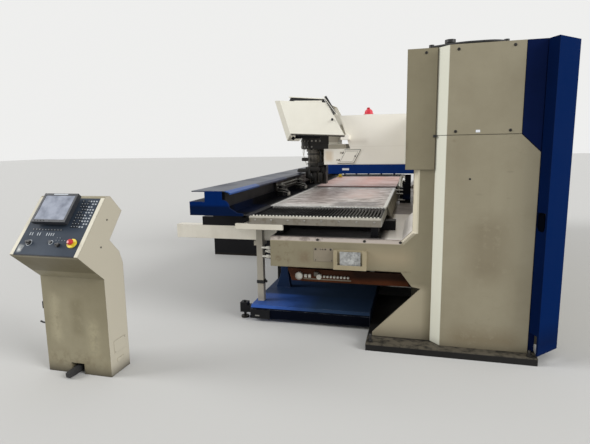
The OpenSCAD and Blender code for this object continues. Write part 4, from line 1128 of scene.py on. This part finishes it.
# %% Straps, bolts and rods of the head
barrel_low, barrel_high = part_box("head_barrel")
BARREL_R = barrel_high.x - 0.016
COLLAR_R = 0.1955
UP, DOWN, LEFT, RIGHT = (0, 0, 1), (0, 0, -1), (-1, 0, 0), (1, 0, 0)
straps = [ring(BARREL_R + 0.0005, BARREL_R + 0.008, 0.018, (0, 0, z), UP) for z in
          (barrel_low.z + 0.004, barrel_low.z + 0.135, barrel_high.z - 0.024)]
put("barrel_straps", gather(*straps), oily_iron)
collar_bolts = [screw((0.155 * math.cos(a), 0.155 * math.sin(a), barrel_high.z), DOWN, 0.010)
                for a in np.radians(np.arange(30, 360, 30))]
side_bolts = [screw((COLLAR_R * math.cos(a), COLLAR_R * math.sin(a), z), (math.cos(a), math.sin(a), 0), 0.008)
              for a in np.radians(np.arange(186, 300, 16)) for z in (1.530, 1.606)]
put("collar_bolts", gather(*collar_bolts, *side_bolts), bright_bolt)
rods = [pipe([(x, y, 1.055), (x, y, barrel_low.z - 0.002)], 0.009)
        for y in (-0.112, 0.112) for x in (-0.055, 0.055)]
put("guide_rods", gather(*rods), greasy_steel)

# %% [markdown]
# Valves and cylinders on the head look like small castings: square in section, with round corners
# and a belly. One function makes them all, and a table says where each starts, where it points, how
# long it is and how thick. Cubes with a bevel would look machined, not cast.

# %% Castings of the head


def lump(at, way, length, size):
    """A section of radius size / max(|cos a|, |sin a|) ** 0.75, carried a short way, fat in the middle."""
    way, side, third = side_ways(way)
    turn = full_turn(16)
    square = 1 / np.maximum(np.abs(np.cos(turn)), np.abs(np.sin(turn))) ** 0.75
    along = np.array([0, 0, 0.1, 0.3, 0.7, 0.9, 1, 1])
    fat = np.array([0, 0.82, 0.95, 1, 1, 0.93, 0.8, 0])
    out = (size * fat[:, None] * square)[:, :, None] * spokes(turn, side, third)
    return loft(np.asarray(at, float) + along[:, None, None] * length * way + out)


BLOCKS = [((-0.165, -0.118, 1.366), RIGHT, 0.085, 0.024), ((-0.085, -0.126, 1.235), RIGHT, 0.175, 0.028),
          ((-0.229, -0.115, 1.212), RIGHT, 0.145, 0.017), ((0.165, -0.130, 1.570), RIGHT, 0.050, 0.030),
          ((0.120, -0.090, 1.262), DOWN, 0.085, 0.032), ((-0.100, -0.080, 1.262), DOWN, 0.120, 0.026),
          ((0.090, -0.115, 1.190), DOWN, 0.115, 0.028), ((-0.060, -0.125, 1.190), DOWN, 0.090, 0.018),
          ((0.020, -0.130, 1.185), DOWN, 0.120, 0.020), ((0.130, -0.040, 1.180), DOWN, 0.130, 0.022),
          ((-0.125, 0.030, 1.200), DOWN, 0.100, 0.024), ((0.060, -0.140, 1.300), (1, 0.1, 0), 0.075, 0.026),
          ((-0.150, -0.150, 1.640), (1, 0.05, 0), 0.240, 0.018)]
put("head_blocks", gather(*[lump(*block) for block in BLOCKS]), oily_iron)
gap_parts = gather(brick((-0.215, -0.168, 1.640), (0.190, -0.150, 1.735)),
                   prism([(-0.236, 1.640), (-0.176, 1.640), (-0.190, 1.735), (-0.226, 1.735)],
                         -0.200, -0.184))
put("head_top_parts", gap_parts, dark_sheet, bevel=0.002)

# %% [markdown]
# The head's hoses hang in loose bows. Each is a smooth curve through four points and a radius, and
# the thin pale ones are its air lines.

# %% Hoses of the head
HEAD_HOSES = [
    (0.008, [(0.080, -0.150, 1.500), (0.105, -0.176, 1.440), (0.098, -0.165, 1.380), (0.100, -0.145, 1.320)]),
    (0.009, [(0.160, -0.100, 1.500), (0.178, -0.115, 1.420), (0.160, -0.105, 1.330), (0.130, -0.098, 1.255)]),
    (0.007, [(-0.060, -0.125, 1.640), (-0.075, -0.205, 1.600), (-0.050, -0.200, 1.520),
             (-0.020, -0.150, 1.490)]),
    (0.007, [(-0.020, -0.118, 1.270), (-0.060, -0.160, 1.210), (-0.020, -0.165, 1.130),
             (0.010, -0.135, 1.080)])]
AIR_LINES = [
    (0.0045, [(-0.135, -0.120, 1.529), (-0.148, -0.128, 1.463), (-0.130, -0.130, 1.383),
              (-0.100, -0.126, 1.290)]),
    (0.0035, [(-0.120, -0.125, 1.529), (-0.132, -0.135, 1.440), (-0.136, -0.132, 1.400),
              (-0.118, -0.128, 1.370)])]
put("head_hoses", gather(*[hose(points, radius) for radius, points in HEAD_HOSES]), rubber)
put("head_air_line", gather(*[hose(points, radius) for radius, points in AIR_LINES]), white_plastic)
side_strip = brick((0.118, -0.066, 1.300), (0.1205, 0.030, 1.470))
put("barrel_side_strip", side_strip, strip_paint, bevel=0.0006)

# %% [markdown]
# The same block serves for the rubber plug of the console's cable, which comes out of the notch at
# the console's foot.

# %% Console plug
plug = lump((-0.934, -3.590, 0.036), (-0.10, -1, -0.06), 0.150, 0.021)
put("console_plug", plug, rubber)

# %% [markdown]
# ## Hood trim
# The hood is a folded cream shell with a lip along its lower edge, painted grey as painted shade,
# a knob near its right edge and rims round the slots in its upper edge. All of them ride on the hood
# when it slides down. The edges slant, so a bar is given by the line that it follows and by how far
# it lies off that line.

# %% Lip and knob of the hood
HOOD_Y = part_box("head_hood")[0].y
lip_outline = [(-0.242, 1.694), (0.455, 1.659), (0.455, 1.668), (-0.242, 1.703)]
put("hood_lip", prism(lip_outline, HOOD_Y - 0.004, HOOD_Y), grey_paint, "hood", 0.001)
hood_knob = lathe([(0, 0), (0.009, 0), (0.009, 0.012), (0.014, 0.016), (0.016, 0.026), (0.011, 0.031),
                   (0, 0.032)], (0.300, HOOD_Y, 1.861), FRONT, 20)
put("hood_knob", hood_knob, black_plastic, "hood")

# %% [markdown]
# The upper edge of the hood has two slots. Their rims are bars, and in the slot on the right a row
# of small bright lumps stands for the slide that shows there.

# %% Rims and slide parts of the hood


def strip_along(start, end, below, above, low_y, high_y):
    """A flat bar in the X, Z plane: from start to end, from below to above the line, square to it."""
    start, end = np.array(start, float), np.array(end, float)
    ahead = (end - start) / np.linalg.norm(end - start)
    up = np.array([-ahead[1], ahead[0]])
    outline = [start + below * up, end + below * up, end + above * up, start + above * up]
    return prism(outline, low_y, high_y)


# A black strip under the hood's lower edge is painted shadow, where the hood's shade falls.
lower_shadow_strip = strip_along((-0.236, 1.6925), (0.450, 1.6585), -0.012, -0.001, HOOD_Y + 0.001, HOOD_Y + 0.014)
put("hood_shadow_strip", lower_shadow_strip, rubber, "hood")
slot_rim = gather(
    strip_along((-0.258, 2.1515), (0.176, 2.1120), 0.000, 0.011, HOOD_Y + 0.0005, HOOD_Y + 0.060),
    prism([(-0.190, 2.1005), (0.165, 2.0735), (0.168, 2.096), (-0.188, 2.107)], HOOD_Y + 0.0005,
          HOOD_Y + 0.012),
    strip_along((0.178, 2.1500), (0.352, 1.9165), 0.000, 0.007, HOOD_Y - 0.001, HOOD_Y + 0.040))
put("hood_slot_rim", slot_rim, hood_cream, "hood", 0.001)
put("hood_bracket", lump((-0.262, -0.235, 1.628), (0.55, 0, 0.83), 0.040, 0.020), dark_sheet, "hood")
slide_bits = [lump((0.196 + 0.015 * k, HOOD_Y - 0.003, 2.106 - 0.021 * k), (0.53, 0, -0.85), 0.016,
                   0.004 + 0.002 * (k % 2)) for k in range(9)]
put("hood_slide_parts", gather(*slide_bits), cap_steel, "hood")

# %% [markdown]
# ## Hatch
# The hatch on the arm is a slanted flap with a rubber seal on three of its edges, a pressed line
# inside them and two hinges on its left edge. The knuckles turn with the hatch and their leaves stay
# on the arm. The seal is round cord, so it is a pipe along each edge.

# %% Hatch pieces
HATCH_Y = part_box("arm_hatch")[0].y
HATCH_CORNERS = np.array([(0.428, 1.486), (0.635, 1.486), (0.546, 1.318), (0.339, 1.318)])


def hatch_edges(count, shrink, depth, radius):
    """Pipes along the first so many edges of the hatch's outline, shrunk towards its middle."""
    middle = HATCH_CORNERS.mean(0)
    around = [(x, HATCH_Y - depth, z) for x, z in middle + (HATCH_CORNERS - middle) * shrink]
    return gather(*[pipe([around[k], around[(k + 1) % 4]], radius, 8) for k in range(count)])


put("hatch_panel_line", hatch_edges(4, 0.78, 0.0005, 0.0014), grey_paint, "hatch")
put("hatch_seal", hatch_edges(3, 1, 0.001, 0.0028), rubber, "hatch")
hinge_way = np.array([0.089, 0, 0.168]) / math.hypot(0.089, 0.168)
hinge_foot = np.array([0.339, HATCH_Y, 1.318])
knuckles = [pipe([hinge_foot + hinge_way * s, hinge_foot + hinge_way * (s + 0.026)], 0.006, 10)
            for s in (0.030, 0.135)]
put("hatch_hinges", gather(*knuckles), oily_iron, "hatch")
leaves = [brick(tuple(hinge_foot + hinge_way * s + (-0.034, 0.0045, 0)),
                tuple(hinge_foot + hinge_way * s + (-0.008, 0.0063, 0.022))) for s in (0.032, 0.137)]
put("hatch_hinge_leaves", gather(*leaves), dull_cream, bevel=0.0006)
latch = lathe([(0, 0), (0.009, 0), (0.009, 0.004), (0.006, 0.007), (0, 0.007)],
              (0.565, HATCH_Y, 1.405), FRONT, 16)
put("hatch_latch", latch, clamp_steel, "hatch")

# %% [markdown]
# ## Plates, band and beacon
# Small white plates are fixed to the blue band and to the front cover, both left blank. Bolts show
# under the band. The beacon on the arm gets a foot ring and a cap, both turned on its own axis.

# %% Plates and bolts of the band
band_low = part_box("arm_band")[0]
put("band_plate", brick((0.400, band_low.y - 0.0015, 1.226), (0.486, band_low.y, 1.252)),
    label_white, bevel=0.0005)
put("cover_plate", brick((1.703, FRONT_Y - 0.001, 1.617), (1.731, FRONT_Y, 1.634)),
    label_white, bevel=0.0004)
put("seam_stop", brick((1.428, BOX_Y - 0.010, 1.590), (1.452, BOX_Y + 0.004, 1.606)), rubber,
    bevel=0.002)
BAND_BOLT = [(0, -0.001), (0.013, -0.001), (0.013, 0.006), (0.009, 0.008), (0.009, 0.014), (0, 0.014)]
band_bolts = [lathe(BAND_BOLT, (x, band_low.y + 0.018, band_low.z), DOWN, 6)
              for x in (0.431, 0.581, 0.735, 0.895, 1.055)]
put("band_bolts", gather(*band_bolts), oily_iron)

# %% [markdown]
# The beacon's places are read off its solid, so the ring and the cap stay on its axis.

# %% Beacon
beacon_low, beacon_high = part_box("beacon")
BEACON_X = (beacon_low.x + beacon_high.x) / 2
BEACON_Y = (beacon_low.y + beacon_high.y) / 2
BEACON_R = (beacon_high.x - beacon_low.x) / 2
beacon_cap = lathe([(0, -0.002), (0.020, -0.002), (0.020, 0.012), (0.014, 0.018), (0, 0.018)],
                   (BEACON_X - 0.004, BEACON_Y, beacon_high.z), UP, 20)
put("beacon_cap", beacon_cap, red_plastic)
beacon_foot = ring(BEACON_R * 0.6, BEACON_R + 0.006, 0.010, (BEACON_X, BEACON_Y, beacon_low.z), UP)
put("beacon_foot", beacon_foot, white_plastic)

# %% [markdown]
# ## Side of the bed
# A plain grey plate is screwed to the side of the bed. It is blank, and its screws differ in size.

# %% Plate on the bed
plate_grey = paint("bed plate paint", (138, 129, 112), (112, 104, 90), dirt=0.6, hem=0.0, wear=0.3)
put("bed_plate", brick((0.545, PLATE_Y - 0.0016, 0.639), (0.705, PLATE_Y, 0.750)), plate_grey,
    bevel=0.0005)
plate_screws = [screw((x, PLATE_Y - 0.0012, z), FRONT, r) for x, z, r in
                [(0.561, 0.738, 0.0055), (0.600, 0.738, 0.003), (0.618, 0.738, 0.003),
                 (0.640, 0.738, 0.004), (0.682, 0.738, 0.0055), (0.561, 0.650, 0.003), (0.690, 0.650, 0.003)]]
put("bed_plate_screws", gather(*plate_screws), oily_iron)

# %% [markdown]
# Beside it hangs a pocket with papers. Each sheet is a grid whose points move in and out by a sum of
# waves, which creases it. A cloth simulation would give finer folds, but not the same ones each run.

# %% Papers in the pocket
columns, rows = np.meshgrid(np.linspace(0, 1, 22), np.linspace(0, 1, 14), indexing="ij")
sheets = []
for k in range(3):
    sheet_x = 0.756 + 0.010 * k + (0.162 - 0.020 * k) * columns
    sheet_z = 0.602 + 0.005 * k + (0.126 - 0.014 * k) * rows
    crease = 0.0022 * (np.sin(17 * columns + 9 * rows + 2 * k) * np.cos(11 * rows - 7 * columns + k)
                       + 0.6 * np.sin(41 * columns * rows + 3 * k))
    front_face = np.stack([sheet_x, PLATE_Y - 0.0150 + 0.004 * k + crease * (0.3 + 0.7 * rows), sheet_z], -1)
    back_face = front_face[:, ::-1] + np.array([0, 0.0006, 0])
    sheets.append(loft(np.concatenate([front_face, back_face], 1)))
put("pocket_papers", gather(*sheets), paper)

# %% [markdown]
# The left end of the bed has its air and oil fittings. Each is a turned nut, and two of them hold
# a short piece of hose that bends down behind the leg.

# %% Bed end fittings
BED_X = 0.185
NUT = [(0, 0), (0.016, 0), (0.016, 0.014), (0.011, 0.016), (0.011, 0.034), (0.015, 0.036), (0.015, 0.060),
       (0.009, 0.064)]
HOSE_BEND = [(-0.080, 0, 0), (-0.090, 0.02, -0.010), (-0.075, 0.07, -0.030), (0.005, 0.11, -0.040)]
fittings = [lathe(NUT + [(0.009, end), (0, end)], (BED_X, y, z), LEFT, 12)
            for y, z, end in [(-2.600, 0.712, 0.105), (-2.560, 0.672, 0.085), (-2.610, 0.640, 0.095)]]
bed_hoses = [hose(np.array(HOSE_BEND) + (BED_X, y, z), 0.006) for y, z in [(-2.560, 0.672), (-2.610, 0.640)]]
put("bed_fittings", gather(*fittings), white_plastic)
put("bed_hoses", gather(*bed_hoses), rubber)

# %% [markdown]
# ## Under the bed
# A gauge and a row of hose nipples sit on the face of the brown beam. The solids have the round
# bodies. The rim of the gauge, the nuts, the strip under them and two cast blocks are added here.

# %% Manifold details
beam_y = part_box("manifold_beam")[0].y
fit_low, fit_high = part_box("manifold_fittings")
MANIFOLD_Z = (fit_low.z + fit_high.z) / 2
gauge_rim = ring(0.0275, 0.0335, 0.010, (BED_X + 0.181, fit_high.y - 0.022, MANIFOLD_Z), FRONT)
put("gauge_rim", gauge_rim, bright_bolt)
NIPPLE_NUT = [(0.0092, 0), (0.012, 0.001), (0.012, 0.008), (0.0092, 0.009)]
nuts = [lathe(NIPPLE_NUT, (BED_X + 0.398 + 0.029 * k, fit_high.y, MANIFOLD_Z), FRONT, 6) for k in range(8)]
put("nipple_nuts", gather(*nuts), bright_bolt)
strip = brick((BED_X + 0.215, fit_high.y - 0.003, MANIFOLD_Z - 0.034),
              (BED_X + 0.625, fit_high.y, MANIFOLD_Z - 0.022))
put("manifold_strip", strip, plate_grey, bevel=0.0008)
blocks = gather(lump((BED_X + 0.330, fit_high.y - 0.001, MANIFOLD_Z + 0.022), FRONT, 0.030, 0.020),
                lump((BED_X + 0.800, beam_y + 0.030, 0.499), UP, 0.040, 0.020))
put("manifold_blocks", blocks, grey_paint)

# %% [markdown]
# ## Table, leg and rail
# A clamp band goes round the leg, the front rail of the comb is bolted through, and a bright strip
# lies along the table's edge, where sheets are set against it.

# %% Small parts of the table and the leg
LEG_LEFT, LEG_RIGHT = -0.063, -0.006
band = gather(brick((LEG_LEFT - 0.006, -2.332, 0.312), (LEG_RIGHT + 0.006, -2.264, 0.342)),
              lump((LEG_RIGHT + 0.004, -2.300, 0.327), RIGHT, 0.024, 0.011))
put("leg_clamp", band, black_plastic, bevel=0.002)
comb_low, comb_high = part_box("near_comb")
rail_bolts = [screw((x, comb_low.y, comb_high.z - 0.035), FRONT, 0.0055, 8)
              for x in np.linspace(comb_low.x + 0.05, comb_high.x - 0.05, 8)]
put("comb_rail_bolts", gather(*rail_bolts), bright_bolt)
table_low, table_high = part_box("near_table")
edge = brick((table_high.x - 0.0015, table_low.y + 0.03, table_high.z - 0.013),
             (table_high.x + 0.0025, table_high.y - 0.002, table_high.z + 0.0006))
put("table_edge_strip", edge, bright_bolt)

# %% [markdown]
# The clamps that pull the sheet have bright caps, tie rods and a row of bolts on their bar. They
# ride on the carriage, and a bolt that would sit inside a clamp is left out.

# %% Clamp parts
cap_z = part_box("clamp_bodies")[1].z
bar_low, bar_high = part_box("carriage_bar")
CLAMP_YS = (-1.110, -0.250, 0.610)
CAP_NUT = [(0, 0), (0.016, 0), (0.016, 0.010), (0.010, 0.014), (0, 0.014)]
caps, tie_rods, bar_bolts = [], [], []
for y in CLAMP_YS:
    caps.append(brick((-0.208, y - 0.034, cap_z), (-0.132, y + 0.034, cap_z + 0.006)))
    caps.append(lathe(CAP_NUT, (-0.168, y, cap_z + 0.005), UP, 16))
    for z in (1.040, 1.066):
        bent_rod = [(-0.204, y - 0.0475, z), (-0.146, y - 0.0475, z), (-0.096, y - 0.0425, z - 0.014)]
        tie_rods.append(pipe(bent_rod, 0.0042, 8))
for y in np.arange(bar_low.y + 0.02, bar_high.y - 0.01, 0.036):
    if min(abs(y - at) for at in CLAMP_YS) > 0.055:
        bar_bolts.append(screw((bar_high.x, y, 1.116), RIGHT, 0.0075, 8))
        bar_bolts.append(screw((bar_high.x, y + 0.018, 1.082), RIGHT, 0.0045, 6))
put("clamp_caps", gather(*caps), cap_steel, "clamp_carriage", 0.0015)
put("clamp_tie_rods", gather(*tie_rods), bright_bolt, "clamp_carriage")
put("bar_bolts", gather(*bar_bolts), cap_steel, "clamp_carriage")
print("bolts on the bar:", len(bar_bolts))

# %% [markdown]
# Thin plates close the sides of both combs. A thin black sheet fills the gap from the rail's tray to
# the table as painted shade, so that the pale floor doesn't show through. That sheet belongs to the
# rail and moves with it. All of them are the same at both ends of the machine.

# %% Plates and sheets beside the table
COMB_INNER, COMB_OUTER = 2.036, 2.655
tray_low, tray_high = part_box("rail_base")
TRAY_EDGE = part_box("rail_cover")[1].x + 0.109
SHEET_Z = tray_low.z + 0.0012
table_end = 0.012 - table_low.y


def at_both_ends(x0, x1, y0, y1, z0, z1):
    """A box and its mirror image in the plane Y = 0."""
    return gather(brick((x0, -y1, z0), (x1, -y0, z1)), brick((x0, y0, z0), (x1, y1, z1)))


comb_sides = at_both_ends(comb_low.x - 0.0014, comb_low.x + 0.0005, COMB_INNER, COMB_OUTER, 0.930, 0.990)
put("comb_side_plates", comb_sides, dark_sheet)
comb_ends = at_both_ends(comb_high.x - 0.0005, comb_high.x + 0.0025, COMB_INNER, 2.684, 0.926, 0.9955)
put("comb_end_plates", comb_ends, cap_steel)
sheets = gather(at_both_ends(TRAY_EDGE, comb_low.x - 0.002, table_end, tray_high.y - 0.002, SHEET_Z,
                             SHEET_Z + 0.0035),
                at_both_ends(TRAY_EDGE, table_low.x - 0.002, 0.150, table_end, SHEET_Z, SHEET_Z + 0.0035))
put("rail_shade_sheets", sheets, dark_sheet, "cross_rail", 0.001)
print("sheets start at X in m:", round(TRAY_EDGE, 3))

# %% [markdown]
# ## In the throat
# Behind the table stands the unit that feeds and catches the sheets: rollers on a dark frame, a
# blue bracket, a pale elbow and its hose. Little of it can be seen, so turned rollers, two boxes and
# two bent pipes are enough.

# %% Throat pieces
unit_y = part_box("throat_unit")[0].y
ROLLER = [(0, 0), (0.010, 0), (0.012, 0.002), (0.012, 0.128), (0.010, 0.130), (0, 0.130)]
rollers = [lathe(ROLLER, (1.068, unit_y - 0.022, z), RIGHT, 16) for z in (0.985, 0.940, 0.865)]
put("throat_rollers", gather(*rollers), bright_bolt)
bracket = gather(brick((1.168, unit_y - 0.034, 0.868), (1.262, unit_y - 0.001, 1.072)),
                 brick((1.190, unit_y - 0.030, 1.072), (1.262, unit_y + 0.006, 1.176)))
put("throat_bracket", bracket, base_blue, bevel=0.004)
elbow = hose([(1.130, -0.200, 1.020), (1.140, -0.200, 1.120), (1.165, -0.200, 1.150),
              (1.200, -0.220, 1.130), (1.238, -0.240, 1.085)], 0.021, 16)
thin_hose = hose([(1.150, -0.240, 1.012), (1.156, -0.250, 1.080), (1.176, -0.260, 1.100),
                  (1.216, -0.270, 1.060), (1.244, -0.280, 1.012)], 0.008)
put("throat_hoses", gather(elbow, thin_hose), white_plastic)

# %% [markdown]
# A yellow clip sits on the edge of the far table. It is one of the few strong colours of the
# machine, so it shows in the picture although it is small.

# %% Clip on the far table
yellow_clip = gather(lump((0.030, 1.900, 0.991), UP, 0.050, 0.026),
                     brick((-0.018, 1.880, 0.9905), (0.078, 1.930, 1.004)))
put("far_table_clip", yellow_clip, yellow_plastic, bevel=0.003)

# %% [markdown]
# The corner door opens by a cup in its slanted strip. The cup is a rounded outline carried out of
# the sheet, then inwards over its lip and back to the sheet.

# %% Door cup
CUP_AT = np.array([2.1405, -2.810, 1.012])
CUP_LOOKS = np.array([-0.890, -0.456, 0.0])
CUP_ALONG = np.array([0.456, -0.890, 0.0])


def cup_ring(grow, out):
    """Half size times sign(t) |t| ** 0.5, with t the cosine across and the sine upwards."""
    turn = full_turn(28)
    across, tall = (np.sign(t) * np.abs(t) ** 0.5 * (half + grow)
                    for t, half in ((np.cos(turn), 0.030), (np.sin(turn), 0.064)))
    return CUP_AT + across[:, None] * CUP_ALONG + tall[:, None] * np.array(UP) + out * CUP_LOOKS


cup_rings = [cup_ring(*step) for step in ((0.0, -0.001), (0.0, 0.005), (-0.007, 0.005), (-0.009, 0.0006))]
put("door_cup", loft(np.array(cup_rings)), cup_black, "door")

# %% [markdown]
# ## On the floor
# Two studs hold the slab down in front, each a nut and a threaded end turned in one go, and a bright
# plate sits on the pan's front edge.

# %% Slab bolts and pan plate


def stud(at, height):
    """A washer, a six-sided nut and a threaded end of so much height."""
    return lathe([(0, 0), (0.022, 0), (0.022, 0.014), (0.012, 0.015), (0.012, height - 0.004),
                  (0.009, height), (0, height)], at, UP, 6)


slab_bolts = gather(stud((1.006, -2.800, 0.056), 0.060), stud((2.120, -2.820, 0.056), 0.044))
put("slab_bolts", slab_bolts, oily_iron)
put("pan_plate", brick((-0.045, -2.4712, 0.052), (-0.005, -2.4700, 0.062)), bright_bolt)

# %% Finish
print("pieces made:", len(made))
